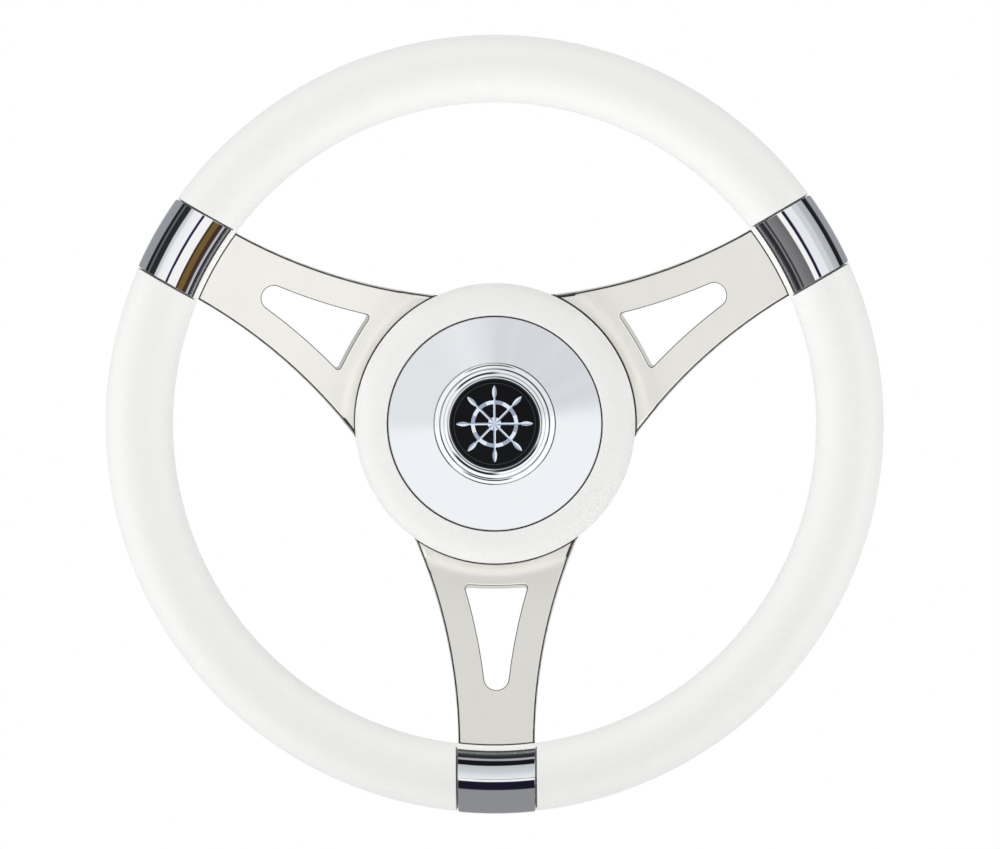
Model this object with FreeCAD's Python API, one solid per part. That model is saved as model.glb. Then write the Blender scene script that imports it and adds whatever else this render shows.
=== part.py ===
import FreeCAD, Part
import math
import os

from FreeCAD import Vector

# Boat steering wheel. Lengths are in millimetres and angles in degrees.
# Each piece is drawn with the wheel's axis along Z and its face towards +Z, and is then stood upright,
# with its face towards -Y. The origin is the centre of the boss's rear face.

# Rim
rim_outer_diameter = 350.0
grip_diameter = 30.4
core_diameter = 12.0
core_wall = 2.0
core_fit = 0.05
recess_depth = 1.5
ring_seam_angle = 180.0

# Clips at the arms
clip_width = 35.2
clip_proud = 0.3
clip_seat_gap = 0.1
clip_side_gap = 0.3
clip_end_angle = 59.0
clip_end_gap_angle = 1.5
clip_parting_gap = 0.1
clip_corner_radius = 2.0
clip_edge_round = 0.5
clip_screw_offset = 9.6
clip_screw_spacing = 21.0
clip_post_diameter = 5.8
clip_post_gap = 0.2
clip_screw_diameter = 2.5
clip_screw_length = 17.0
clip_screw_head_diameter = 4.6
clip_screw_head_height = 1.6
clip_screw_head_sink = 0.2
clip_screw_recess_width = 1.0
clip_screw_recess_depth = 0.9

# Three-arm plate
arm_count = 3
plate_thickness = 5.0
dish_angle = 20.0
bend_line_radius = 45.0
bend_inner_radius = 4.0
arm_width_at_rim = 34.4
arm_edge_radius = 263.0
arm_edge_round = 1.4
arm_end_gap = 0.4
arm_front_above_rim_plane = 0.5
tongue_width = 22.0
tongue_fit = 0.1
slot_band = 13.5
slot_hub_end_radius = 73.3
slot_hub_end_curve = 160.0
slot_corner_radius = 1.6
slot_end_radius = 5.5
slot_edge_round = 0.6

# Boss and its screws
boss_length = 35.0
boss_diameter = 38.0
boss_neck_length = 16.0
flange_thickness = 7.0
flange_edge = 0.85
boss_chamfer = 0.8
spigot_diameter = 30.0
spigot_length = 3.5
spigot_fit = 0.1
taper_large_diameter = 19.05
taper_ratio = 12.0
keyway_width = 4.8
keyway_depth = 2.4
hub_screw_count = 6
hub_screw_diameter = 6.0
hub_screw_length = 12.0
hub_screw_head_diameter = 11.3
hub_screw_land = 1.35
hub_screw_socket = 4.0
hub_screw_socket_depth = 2.4
screw_fit = 0.05

# Rear cover
cover_wall = 2.2
cover_grommet_gap = 0.5
cover_depth = 21.0
cover_straight = 8.0
cover_fit = 0.2

# Pad, its carrier and the studs
pad_diameter = 126.8
pad_round_radius = 14.0
pad_height = 25.0
pad_skirt_draft = 1.6
pad_skirt_round = 2.5
pad_plate_gap = 0.5
pad_arm_gap = 1.6
pad_wall = 11.4
carrier_wall = 2.5
carrier_foot_height = 3.6
carrier_bond = 0.05
collar_length = 9.0
stud_post_diameter = 8.0
stud_diameter = 5.0
stud_bulb_diameter = 6.0
stud_bulb_length = 3.0
grommet_hole_diameter = 9.6
grommet_flange_diameter = 11.6
grommet_flange_thickness = 1.5
grommet_fit = 0.1
grommet_boss_gap = 1.2

# Face disc
disc_diameter = 96.2
disc_thickness = 1.2
disc_cone_angle = 4.0
disc_edge_gap = 0.4
disc_edge_drop = 0.5
disc_bond = 0.1
disc_edge_round = 0.4

# Cap and badge
cap_diameter = 55.6
cap_edge_height = 0.9
cap_step_diameter = 49.6
cap_step_height = 1.5
cap_crown_diameter = 43.2
cap_crown_rise = 0.5
cap_groove_width = 0.5
cap_groove_depth = 0.9
cap_lip_height = 0.5
cap_seat_gap = 0.1
cap_plug_diameter = 44.0
cap_plug_fit = 0.15
cap_plug_length = 8.0
cap_wall = 1.8
cap_edge_round = 0.5
o_ring_section = 1.6
o_ring_fit = 0.05
badge_diameter = 40.0
badge_fit = 0.1
badge_thickness = 1.6
badge_dome_rise = 1.7
emblem_depth_at_rim = 0.25
emblem_tip_radius = 17.2
emblem_ring_radius = 10.6
emblem_ring_width = 1.7
emblem_hub_radius = 3.0
emblem_spoke_count = 8
emblem_spoke_width = 1.0
emblem_handle_width = 2.0
emblem_handle_neck = 0.7
emblem_border_radius = 18.5
emblem_border_width = 0.3

# Places that follow from the sizes above
grip_radius = grip_diameter / 2
rim_centre_radius = rim_outer_diameter / 2 - grip_radius
rim_inner_radius = rim_centre_radius - grip_radius
recess_radius = grip_radius - recess_depth
clip_inner_radius = recess_radius + clip_seat_gap
clip_outer_radius = grip_radius + clip_proud
plate_rear = boss_length
plate_front = plate_rear + plate_thickness
hub_screw_circle = spigot_diameter + hub_screw_head_diameter + 2 * hub_screw_land
flange_diameter = hub_screw_circle + hub_screw_head_diameter + 2 * flange_edge
stud_circle = flange_diameter + grommet_flange_diameter + 2 * grommet_boss_gap
cover_diameter = stud_circle + grommet_flange_diameter + 2 * (cover_grommet_gap + cover_wall)
dish_slope = math.tan(math.radians(dish_angle))
dish_cosine = math.cos(math.radians(dish_angle))
arm_end_radius = rim_inner_radius - arm_end_gap
rim_plane = plate_front + (arm_end_radius - bend_line_radius) * dish_slope - arm_front_above_rim_plane
disc_slope = math.tan(math.radians(disc_cone_angle))
disc_radius = disc_diameter / 2
pad_top_radius = disc_radius + disc_edge_gap
pad_inner_diameter = pad_diameter - 2 * pad_wall
disc_edge_top = plate_front + pad_height - disc_edge_drop
cap_radius = cap_diameter / 2
plug_radius = cap_plug_diameter / 2
collar_bore_radius = plug_radius + cap_plug_fit

AXIS = Vector(0, 0, 1)
CENTRE = Vector(0, 0, 0)


def arm_angle(index):
    return -90.0 + index * 360.0 / arm_count


def gap_angle(index):
    """Direction midway between one arm and the next."""
    return arm_angle(index) + 180.0 / arm_count


def turned(shape, angle):
    moved = shape.copy()
    moved.rotate(CENTRE, AXIS, angle)
    return moved


def at_radius(shape, radius, angle, height=0.0):
    """A copy of something drawn on the axis, moved out to a radius in a given direction."""
    moved = shape.copy()
    moved.translate(Vector(radius, 0, height))
    moved.rotate(CENTRE, AXIS, angle)
    return moved


def profile(start, *steps):
    """Closed face in the XZ plane. A step is a point, or a pair of points for an arc through the first."""
    edges = []
    here = Vector(start[0], 0, start[1])
    first = here
    for step in steps:
        if isinstance(step[0], tuple):
            middle = Vector(step[0][0], 0, step[0][1])
            there = Vector(step[1][0], 0, step[1][1])
            edges.append(Part.Arc(here, middle, there).toShape())
        else:
            there = Vector(step[0], 0, step[1])
            edges.append(Part.LineSegment(here, there).toShape())
        here = there
    if here.distanceToPoint(first) > 1e-6:
        edges.append(Part.LineSegment(here, first).toShape())
    return Part.Face(Part.Wire(edges))


def revolved(start, *steps):
    return profile(start, *steps).revolve(CENTRE, AXIS, 360)


def flat_face(start, *steps):
    """Closed face in the XY plane, with the same steps as a profile."""
    face = profile(start, *steps)
    face.rotate(CENTRE, Vector(1, 0, 0), -90)
    return face


def cylinder(radius, low, high):
    return Part.makeCylinder(radius, high - low, Vector(0, 0, low))


def cone(low_radius, high_radius, low, high):
    return Part.makeCone(low_radius, high_radius, high - low, Vector(0, 0, low))


def torus(tube_radius):
    """Round ring as large as the rim, about the rim's plane, with its seam on the side of the hub."""
    circle = Part.makeCircle(tube_radius, CENTRE, Vector(0, -1, 0))
    section = Part.Face(Part.Wire(circle))
    section.rotate(CENTRE, Vector(0, 1, 0), ring_seam_angle)
    section.translate(Vector(rim_centre_radius, 0, 0))
    return section.revolve(CENTRE, AXIS, 360)


def at_rim(shape):
    """A copy of something drawn about the rim's plane, at the rim's height."""
    moved = shape.copy()
    moved.translate(Vector(0, 0, rim_plane))
    return moved


def joined(shapes):
    whole = shapes[0].fuse(shapes[1:]) if len(shapes) > 1 else shapes[0]
    return whole.removeSplitter()


def rounded(shape, radius, wanted):
    """Round the edges of a shape for which wanted(edge) is true."""
    return shape.makeFillet(radius, [edge for edge in shape.Edges if wanted(edge)])


def circle_edge(radius, height):
    """Test for a full round edge about the axis."""
    def test(edge):
        curve = edge.Curve
        if not isinstance(curve, Part.Circle):
            return False
        return abs(curve.Radius - radius) < 1e-4 and abs(curve.Center.z - height) < 1e-4
    return test


# Three-arm plate

def slope_length(radius):
    """Distance up the sloping arm, from the bend line to a radius from the axis."""
    return (radius - bend_line_radius) / dish_cosine


def edge_reach(distance, spread=0.0):
    """Half the arm's width at a distance up the slope, with its edges moved out by spread."""
    run = slope_length(rim_inner_radius) - distance
    middle = arm_width_at_rim / 2 + arm_edge_radius
    return middle - math.sqrt((arm_edge_radius - spread) ** 2 - run ** 2)


def bend_start():
    """Distance from the bend line to where the bend's curve ends."""
    return bend_inner_radius * math.tan(math.radians(dish_angle / 2))


def arm_blank(near, far, spread, low, high):
    """Arm outline between two distances up the slope, drawn flat and as thick as low to high."""
    middle = (near + far) / 2
    near_reach = edge_reach(near, spread)
    middle_reach = edge_reach(middle, spread)
    far_reach = edge_reach(far, spread)
    face = flat_face(
        (near, -near_reach),
        ((middle, -middle_reach), (far, -far_reach)),
        (far, far_reach),
        ((middle, middle_reach), (near, near_reach)),
    )
    face.translate(Vector(0, 0, low))
    return face.extrude(Vector(0, 0, high - low))


def slot_cutter():
    """Slot in an arm: sides follow the arm's edges, a shallow curve at the hub, a round end at the rim."""
    rim_distance = slope_length(rim_inner_radius)
    centre_height = arm_width_at_rim / 2 + arm_edge_radius
    side_radius = arm_edge_radius + slot_band
    end_run = math.sqrt((side_radius + slot_end_radius) ** 2 - centre_height ** 2)
    end_centre = rim_distance - end_run
    share = side_radius / (side_radius + slot_end_radius)
    touch = rim_distance - end_run * share
    touch_reach = centre_height * (1 - share)
    hub_end = slope_length(slot_hub_end_radius)

    def side(distance):
        return centre_height - math.sqrt(side_radius ** 2 - (rim_distance - distance) ** 2)

    corner_reach = side(hub_end)
    corner = hub_end - slot_hub_end_curve + math.sqrt(slot_hub_end_curve ** 2 - corner_reach ** 2)
    corner_reach = side(corner)
    middle = (corner + touch) / 2
    face = flat_face(
        (corner, -corner_reach),
        ((middle, -side(middle)), (touch, -touch_reach)),
        ((end_centre + slot_end_radius, 0), (touch, touch_reach)),
        ((middle, side(middle)), (corner, corner_reach)),
        ((hub_end, 0), (corner, -corner_reach)),
    )
    face.translate(Vector(0, 0, -2 * plate_thickness))
    cutter = face.extrude(Vector(0, 0, 4 * plate_thickness))
    return rounded(cutter, slot_corner_radius, lambda edge: is_upright_at(edge, corner, corner_reach))


def is_upright_at(edge, along, aside):
    ends = [vertex.Point for vertex in edge.Vertexes]
    if len(ends) != 2 or abs(ends[0].z - ends[1].z) < 1e-6:
        return False
    return all(abs(p.x - along) < 1e-4 and abs(abs(p.y) - aside) < 1e-4 for p in ends)


def on_arm(shape, index):
    """Place something drawn on the flat arm: X runs up the slope and Z out of the front face."""
    moved = shape.copy()
    moved.rotate(CENTRE, Vector(0, 1, 0), -dish_angle)
    moved.translate(Vector(bend_line_radius, 0, plate_front))
    return turned(moved, arm_angle(index))


def flat_arm():
    """One slotted arm, still flat, with its front edges rounded."""
    near = bend_start()
    far = slope_length(rim_inner_radius) + plate_thickness
    blank = arm_blank(near, far, 0.0, -plate_thickness, 0.0)

    def is_outer_side(edge):
        box = edge.BoundBox
        return abs(box.ZMin) < 1e-6 and abs(box.ZMax) < 1e-6 and box.XLength > far / 2

    def is_slot_edge(edge):
        box = edge.BoundBox
        if abs(box.ZMin) > 1e-6 or abs(box.ZMax) > 1e-6:
            return False
        return box.XMin > near + 1 and box.XMax < far - 1

    arm = rounded(blank, arm_edge_round, is_outer_side)
    arm = arm.cut(slot_cutter())
    return rounded(arm, slot_edge_round, is_slot_edge)


def arm_bend():
    """The curved strip between the flat middle and one arm, drawn in the first arm's direction."""
    start = bend_line_radius - bend_start()
    reach = edge_reach(bend_start())
    low = plate_front - plate_thickness
    section = Part.Face(Part.makePolygon([
        Vector(start, -reach, low), Vector(start, reach, low),
        Vector(start, reach, plate_front), Vector(start, -reach, plate_front),
        Vector(start, -reach, low),
    ]))
    hinge = Vector(start, 0, plate_front + bend_inner_radius)
    return section.revolve(hinge, Vector(0, -1, 0), dish_angle)


def tongue(fit):
    """Narrow end of the arm that runs into the rim as far as the core, drawn on the flat arm."""
    near = slope_length(rim_inner_radius) - plate_thickness
    far = slope_length(rim_centre_radius - core_diameter / 4)
    width = tongue_width + 2 * fit
    corner = Vector(near, -width / 2, -plate_thickness - fit)
    return Part.makeBox(far - near, width, plate_thickness + 2 * fit, corner)


def plate_middle():
    """Flat middle of the plate, between the three bends."""
    start = bend_line_radius - bend_start()
    reach = edge_reach(bend_start())
    corner_radius = math.hypot(start, reach)
    corner_angle = math.degrees(math.atan2(reach, start))
    half_gap = 180.0 / arm_count - corner_angle
    half_chord = corner_radius * math.sin(math.radians(half_gap))
    sag = arm_edge_radius - math.sqrt(arm_edge_radius ** 2 - half_chord ** 2)
    waist = corner_radius * math.cos(math.radians(half_gap)) - sag
    edges = []
    for index in range(arm_count):
        one = polar(corner_radius, arm_angle(index) - corner_angle)
        other = polar(corner_radius, arm_angle(index) + corner_angle)
        edges.append(Part.LineSegment(one, other).toShape())
        following = polar(corner_radius, arm_angle(index + 1) - corner_angle)
        edges.append(Part.Arc(other, polar(waist, gap_angle(index)), following).toShape())
    face = Part.Face(Part.Wire(edges))
    face.translate(Vector(0, 0, plate_rear))
    return face.extrude(Vector(0, 0, plate_thickness))


def polar(radius, angle):
    return Vector(radius * math.cos(math.radians(angle)), radius * math.sin(math.radians(angle)), 0)


def spider_plate():
    arm = flat_arm()
    bend = arm_bend()
    rim_envelope = at_rim(torus(grip_radius + arm_end_gap))
    core = at_rim(torus(core_diameter / 2))
    parts = [plate_middle()]
    for index in range(arm_count):
        parts.append(turned(bend, arm_angle(index)))
        parts.append(on_arm(arm, index).cut(rim_envelope))
        parts.append(on_arm(tongue(0.0), index).cut(core))
    plate = joined(parts)
    plate = plate.cut(cylinder(spigot_diameter / 2, plate_rear - 1, plate_front + 1))
    for angle in hub_screw_angles():
        plate = plate.cut(at_radius(hub_screw_hole(), hub_screw_circle / 2, angle))
    for index in range(arm_count):
        hole = cylinder(grommet_hole_diameter / 2, plate_rear - 1, plate_front + 1)
        plate = plate.cut(at_radius(hole, stud_circle / 2, gap_angle(index)))
    return plate


# Boss, its screws and the rear cover

def hub_screw_angles():
    step = 360.0 / hub_screw_count
    return [arm_angle(0) + step / 2 + index * step for index in range(hub_screw_count)]


def hub_screw_hole():
    """Countersunk hole through the plate, and on through the flange."""
    radius = hub_screw_diameter / 2 + screw_fit
    head_radius = hub_screw_head_diameter / 2
    head_height = head_radius - radius
    shank = cylinder(radius, plate_rear - flange_thickness - 1, plate_front + 1)
    return shank.fuse(cone(radius, head_radius, plate_front - head_height, plate_front))


def hub_screws():
    radius = hub_screw_diameter / 2
    head_radius = hub_screw_head_diameter / 2 - screw_fit
    head_height = head_radius - radius
    top = plate_front
    screw = cylinder(radius, top - hub_screw_length, top - head_height)
    screw = screw.fuse(cone(radius, head_radius, top - head_height, top)).removeSplitter()
    socket = hexagon_prism(hub_screw_socket, top - hub_screw_socket_depth, top + 1)
    screw = screw.cut(socket)
    return Part.makeCompound([
        at_radius(screw, hub_screw_circle / 2, angle) for angle in hub_screw_angles()
    ])


def hexagon_prism(across_flats, low, high):
    corner = across_flats / math.sqrt(3)
    points = [polar(corner, 60.0 * index) + Vector(0, 0, low) for index in range(7)]
    return Part.Face(Part.makePolygon(points)).extrude(Vector(0, 0, high - low))


def taper_radius(height):
    return taper_large_diameter / 2 - height / (2 * taper_ratio)


def hub_boss():
    flange_radius = flange_diameter / 2
    neck_radius = boss_diameter / 2
    flange_low = boss_length - flange_thickness
    spigot_radius = spigot_diameter / 2 - spigot_fit
    top = boss_length + spigot_length
    flare_middle = (neck_radius + (flange_radius - neck_radius) * 0.3,
                    boss_neck_length + (flange_low - boss_neck_length) * 0.62)
    boss = revolved(
        (taper_radius(0), 0),
        (neck_radius - boss_chamfer, 0),
        (neck_radius, boss_chamfer),
        (neck_radius, boss_neck_length),
        (flare_middle, (flange_radius - boss_chamfer, flange_low)),
        (flange_radius, flange_low + boss_chamfer),
        (flange_radius, boss_length),
        (spigot_radius, boss_length),
        (spigot_radius, top - boss_chamfer),
        (spigot_radius - boss_chamfer, top),
        (taper_radius(top), top),
    )
    depth = taper_radius(0) + keyway_depth
    keyway = Part.makeBox(depth, keyway_width, 2 * top, Vector(0, -keyway_width / 2, -top / 2))
    keyway.rotate(Vector(depth, 0, 0), Vector(0, -1, 0), math.degrees(math.atan(0.5 / taper_ratio)))
    boss = boss.cut(turned(keyway, 90))
    for angle in hub_screw_angles():
        boss = boss.cut(at_radius(hub_screw_hole(), hub_screw_circle / 2, angle))
    return boss


def rear_cover():
    """Moulded shroud: straight by the plate, then tapering in to the boss."""
    outer = cover_diameter / 2
    inner = outer - cover_wall
    top = plate_rear - cover_fit / 2
    shoulder = top - cover_straight
    low = plate_rear - cover_depth
    bore = boss_diameter / 2 + cover_fit
    cover = revolved(
        (inner, top),
        (outer, top),
        (outer, shoulder),
        (bore + cover_wall, low),
        (bore, low),
        (bore, low + cover_wall),
        (inner, shoulder + cover_wall / 2),
    )
    return rounded(cover, cover_wall, circle_edge(outer, shoulder))


# Rim, core and clips

def rim_core():
    return at_rim(torus(core_diameter / 2).cut(torus(core_diameter / 2 - core_wall)))


def tube_point(tube_radius, angle):
    """Point on the rim's section about its plane, with the angle counted from the front and outwards."""
    turn = math.radians(angle)
    return (rim_centre_radius + tube_radius * math.sin(turn), tube_radius * math.cos(turn))


def tube_band(inner, outer, start, end):
    """Piece of shell round the rim's section, swept along the rim for a little more than a clip."""
    middle = (start + end) / 2
    face = profile(
        tube_point(outer, start),
        (tube_point(outer, middle), tube_point(outer, end)),
        tube_point(inner, end),
        (tube_point(inner, middle), tube_point(inner, start)),
    )
    sweep = math.degrees(clip_width / rim_inner_radius)
    face.rotate(CENTRE, AXIS, -sweep / 2)
    return face.revolve(CENTRE, AXIS, sweep)


def clip_slab(width, corner):
    """What lies over a clip's width, its sides parallel to the arm, with round outer corners."""
    outer = rim_centre_radius + clip_outer_radius
    reach = 2 * grip_diameter
    box = Part.makeBox(reach, width, reach, Vector(outer + 1 - reach, -width / 2, -reach / 2))
    if not corner:
        return box
    limit = outer + clip_seat_gap / 2
    slab = box.common(cylinder(limit, -reach / 2, reach / 2))
    edge_x = math.sqrt(limit ** 2 - (width / 2) ** 2)
    return rounded(slab, corner, lambda edge: is_upright_at(edge, edge_x, width / 2))


def clip_posts(radius, low, high):
    """Two upright cylinders where a clip's screws go, drawn in the first arm's direction."""
    posts = []
    for side in (-1, 1):
        place = Vector(rim_centre_radius + clip_screw_offset, side * clip_screw_spacing / 2, low)
        posts.append(Part.makeCylinder(radius, high - low, place))
    return posts


def post_end():
    """Height above the rim's plane where a post meets the shell it stands in."""
    edge = clip_screw_offset + clip_post_diameter / 2
    return math.sqrt(clip_outer_radius ** 2 - edge ** 2) - clip_proud


def clip_front():
    shell = tube_band(clip_inner_radius, clip_outer_radius, -clip_end_angle, 90.0)
    shell = shell.common(clip_slab(clip_width, clip_corner_radius))
    shell = rounded(shell, clip_edge_round, is_clip_outline)
    radius = clip_post_diameter / 2
    posts = clip_posts(radius, clip_post_gap / 2, post_end())
    shell = joined([shell] + posts)
    pilot_end = clip_screw_length + clip_screw_seat()
    for hole in clip_posts(clip_screw_diameter / 2 + screw_fit, 0.0, pilot_end + 0.3):
        shell = shell.cut(hole)
    lift = cylinder(rim_outer_diameter, -grip_diameter, clip_parting_gap / 2)
    return at_rim(shell.cut(lift))


def clip_screw_seat():
    """Height, below the rim's plane, of the outer face of the screws' heads."""
    edge = clip_screw_offset + clip_screw_head_diameter / 2
    return clip_screw_head_sink - math.sqrt(clip_outer_radius ** 2 - edge ** 2)


def clip_rear():
    shell = tube_band(clip_inner_radius, clip_outer_radius, 90.0, 180.0 + clip_end_angle)
    shell = shell.common(clip_slab(clip_width, clip_corner_radius))
    shell = rounded(shell, clip_edge_round, is_clip_outline)
    radius = clip_post_diameter / 2
    shell = joined([shell] + clip_posts(radius, -post_end(), -clip_post_gap / 2))
    head = clip_screw_head_diameter / 2 + screw_fit
    seat = clip_screw_seat() + clip_screw_head_height
    for hole in clip_posts(clip_screw_diameter / 2 + screw_fit, -2 * grip_radius, 0.0):
        shell = shell.cut(hole)
    for hole in clip_posts(head, -2 * grip_radius, seat):
        shell = shell.cut(hole)
    drop = cylinder(rim_outer_diameter, -clip_parting_gap / 2, grip_diameter)
    return at_rim(shell.cut(drop))


def clip_screws():
    seat = clip_screw_seat()
    screws = []
    shanks = clip_posts(clip_screw_diameter / 2, seat, seat + clip_screw_length)
    heads = clip_posts(clip_screw_head_diameter / 2, seat, seat + clip_screw_head_height)
    for shank, head in zip(shanks, heads):
        screw = shank.fuse(head).removeSplitter()
        screws.append(at_rim(screw.cut(cross_recess(head.BoundBox.Center, seat))))
    return [turned(screw, arm_angle(index)) for index in range(arm_count) for screw in screws]


def cross_recess(place, seat):
    """Cross-shaped recess in a screw's head, which faces backwards."""
    length = clip_screw_head_diameter * 0.55
    width = clip_screw_recess_width
    low = seat - 1
    height = clip_screw_recess_depth + 1
    one = Part.makeBox(length, width, height, Vector(place.x - length / 2, place.y - width / 2, low))
    other = Part.makeBox(width, length, height, Vector(place.x - width / 2, place.y - length / 2, low))
    return one.fuse(other)


def edge_points(edge):
    """Both ends and the middle of an edge."""
    middle = (edge.FirstParameter + edge.LastParameter) / 2
    return [edge.valueAt(place) for place in (edge.FirstParameter, middle, edge.LastParameter)]


def is_on_tube(points, radius):
    for point in points:
        aside = math.hypot(point.x, point.y) - rim_centre_radius
        if abs(math.hypot(aside, point.z) - radius) > 1e-3:
            return False
    return True


def is_clip_outline(edge):
    """Whether an edge of a shell lies on its outer face, and not where the two shells meet."""
    points = edge_points(edge)
    parting = all(abs(point.z) < 1e-3 and point.x > rim_centre_radius for point in points)
    return is_on_tube(points, clip_outer_radius) and not parting


def rim_grip():
    """The moulding: hollow for the core, with a slot for each tongue and a recess for each clip."""
    grip = torus(grip_radius)
    recess = tube_band(
        recess_radius, grip_radius + 2 * recess_depth,
        -clip_end_angle - clip_end_gap_angle, 180.0 + clip_end_angle + clip_end_gap_angle,
    )
    recess = recess.common(clip_slab(clip_width + 2 * clip_side_gap, 0.0))
    for index in range(arm_count):
        grip = grip.cut(turned(recess, arm_angle(index)))
    grip = grip.cut(torus(core_diameter / 2 + core_fit))
    post_holes = clip_posts(clip_post_diameter / 2 + clip_seat_gap, -2 * grip_radius, 2 * grip_radius)
    for index in range(arm_count):
        slot = on_arm(tongue(tongue_fit), index)
        slot.translate(Vector(0, 0, -rim_plane))
        grip = grip.cut(slot)
        for hole in post_holes:
            grip = grip.cut(turned(hole, arm_angle(index)))
    return at_rim(grip)


# Pad, carrier, studs and face disc

def pad_top():
    return plate_front + pad_height


def hub_pad():
    outer = pad_diameter / 2
    curve_radius = outer - pad_round_radius
    skirt_top = pad_top() - pad_round_radius
    foot = plate_front + pad_plate_gap
    foot_radius = outer - pad_skirt_draft
    inner = pad_inner_diameter / 2
    turn = math.acos((pad_top_radius - curve_radius) / pad_round_radius)
    lip = pad_top() - pad_round_radius + pad_round_radius * math.sin(turn)
    bulge = pad_round_radius * math.cos(math.radians(45))
    pad = revolved(
        (inner, foot),
        (foot_radius, foot),
        (outer, skirt_top),
        ((curve_radius + bulge, skirt_top + bulge), (pad_top_radius, lip)),
        (pad_top_radius, deck_height(pad_top_radius)),
        (inner, deck_height(inner)),
    )
    pad = rounded(pad, pad_skirt_round, circle_edge(foot_radius, foot))
    notch = arm_blank(0.0, slope_length(rim_inner_radius), pad_arm_gap, -4 * plate_thickness, pad_arm_gap)
    for index in range(arm_count):
        pad = pad.cut(on_arm(notch, index))
    return pad


def deck_height(radius):
    """Top of the carrier's deck, a shallow cone that the face disc lies on."""
    at_edge = disc_edge_top - disc_thickness / math.cos(math.radians(disc_cone_angle)) - disc_bond
    return at_edge + (disc_radius - radius) * disc_slope


def pad_carrier():
    outer = pad_inner_diameter / 2 - carrier_bond
    inner = outer - carrier_wall
    foot = plate_front + carrier_foot_height
    bore = collar_bore_radius
    collar = bore + carrier_wall
    carrier = revolved(
        (outer, foot),
        (outer, deck_height(outer) - carrier_bond),
        (bore, deck_height(bore) - carrier_bond),
        (bore, deck_height(bore) - collar_length),
        (collar, deck_height(bore) - collar_length),
        (collar, deck_height(collar) - carrier_wall),
        (inner, deck_height(inner) - carrier_wall),
        (inner, foot),
    )
    pieces = [carrier]
    for index in range(arm_count):
        pieces.append(at_radius(stud(), stud_circle / 2, gap_angle(index)))
    return joined(pieces)


def stud():
    """Post under the deck, ending in a snap stud with a bulb behind the grommet."""
    shoulder = plate_front + grommet_flange_thickness + grommet_fit
    bulb_top = plate_rear - grommet_flange_thickness - grommet_fit
    bulb_low = bulb_top - stud_bulb_length
    post = stud_post_diameter / 2
    head = deck_height(stud_circle / 2 + post) - carrier_wall / 2
    pin = stud_diameter / 2
    bulb = stud_bulb_diameter / 2
    return revolved(
        (0, bulb_low),
        (pin * 0.6, bulb_low),
        (bulb, bulb_top - stud_bulb_length / 3),
        (pin, bulb_top),
        (pin, shoulder),
        (post, shoulder),
        (post, head),
        (0, head),
    )


def stud_grommets():
    bore = stud_diameter / 2 + grommet_fit
    neck = grommet_hole_diameter / 2 - grommet_fit
    flange = grommet_flange_diameter / 2
    low = plate_rear - grommet_flange_thickness
    high = plate_front + grommet_flange_thickness
    grommet = revolved(
        (bore, low), (flange, low), (flange, plate_rear), (neck, plate_rear),
        (neck, plate_front), (flange, plate_front), (flange, high), (bore, high),
    )
    return Part.makeCompound([
        at_radius(grommet, stud_circle / 2, gap_angle(index)) for index in range(arm_count)
    ])


def disc_top(radius):
    return disc_edge_top + (disc_radius - radius) * disc_slope


def face_disc():
    bore = collar_bore_radius + cap_plug_fit
    under = disc_thickness / math.cos(math.radians(disc_cone_angle))
    disc = revolved(
        (bore, disc_top(bore) - under), (bore, disc_top(bore)),
        (disc_radius, disc_top(disc_radius)), (disc_radius, disc_top(disc_radius) - under),
    )
    return rounded(disc, disc_edge_round, circle_edge(disc_radius, disc_top(disc_radius)))


# Cap and badge

def cap_foot():
    return disc_top(cap_radius) + cap_seat_gap


def cap_levels():
    """Heights of the cap's two steps, its crown and the badge's floor."""
    edge = cap_foot() + cap_edge_height
    step = edge + cap_step_height
    crown = step + cap_crown_rise
    floor = crown + cap_lip_height - badge_thickness
    return edge, step, crown, floor


def cap_bezel():
    edge, step, crown, floor = cap_levels()
    step_radius = cap_step_diameter / 2
    crown_radius = cap_crown_diameter / 2
    recess = badge_diameter / 2 + badge_fit
    lip_low = crown - cap_groove_depth
    lip_outer = crown_radius - cap_groove_width
    lip_top = crown + cap_lip_height
    plug_low = disc_top(plug_radius) - cap_plug_length
    seat = disc_top(plug_radius) + cap_seat_gap
    groove_inner = collar_bore_radius - o_ring_fit - o_ring_section
    groove_low = plug_low + cap_wall
    groove_high = groove_low + o_ring_section + 2 * o_ring_fit
    hollow = groove_inner - cap_wall
    bezel = revolved(
        (0, floor - cap_wall), (hollow, floor - cap_wall), (hollow, plug_low), (plug_radius, plug_low),
        (plug_radius, groove_low), (groove_inner, groove_low),
        (groove_inner, groove_high), (plug_radius, groove_high),
        (plug_radius, seat), (cap_radius, cap_foot()), (cap_radius, edge),
        (step_radius, edge + cap_crown_rise / 2), (step_radius, step), (crown_radius, crown),
        (crown_radius, lip_low), (lip_outer, lip_low), (lip_outer, lip_top), (recess, lip_top),
        (recess, floor), (0, floor),
    )
    for radius, height in ((cap_radius, edge), (step_radius, step)):
        bezel = rounded(bezel, cap_edge_round, circle_edge(radius, height))
    return bezel


def cap_o_ring():
    groove_inner = collar_bore_radius - o_ring_fit - o_ring_section
    centre_radius = groove_inner + o_ring_section / 2
    groove_low = disc_top(plug_radius) - cap_plug_length + cap_wall
    height = groove_low + o_ring_fit + o_ring_section / 2
    return Part.makeTorus(centre_radius, o_ring_section / 2 - o_ring_fit / 2, Vector(0, 0, height))


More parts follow.
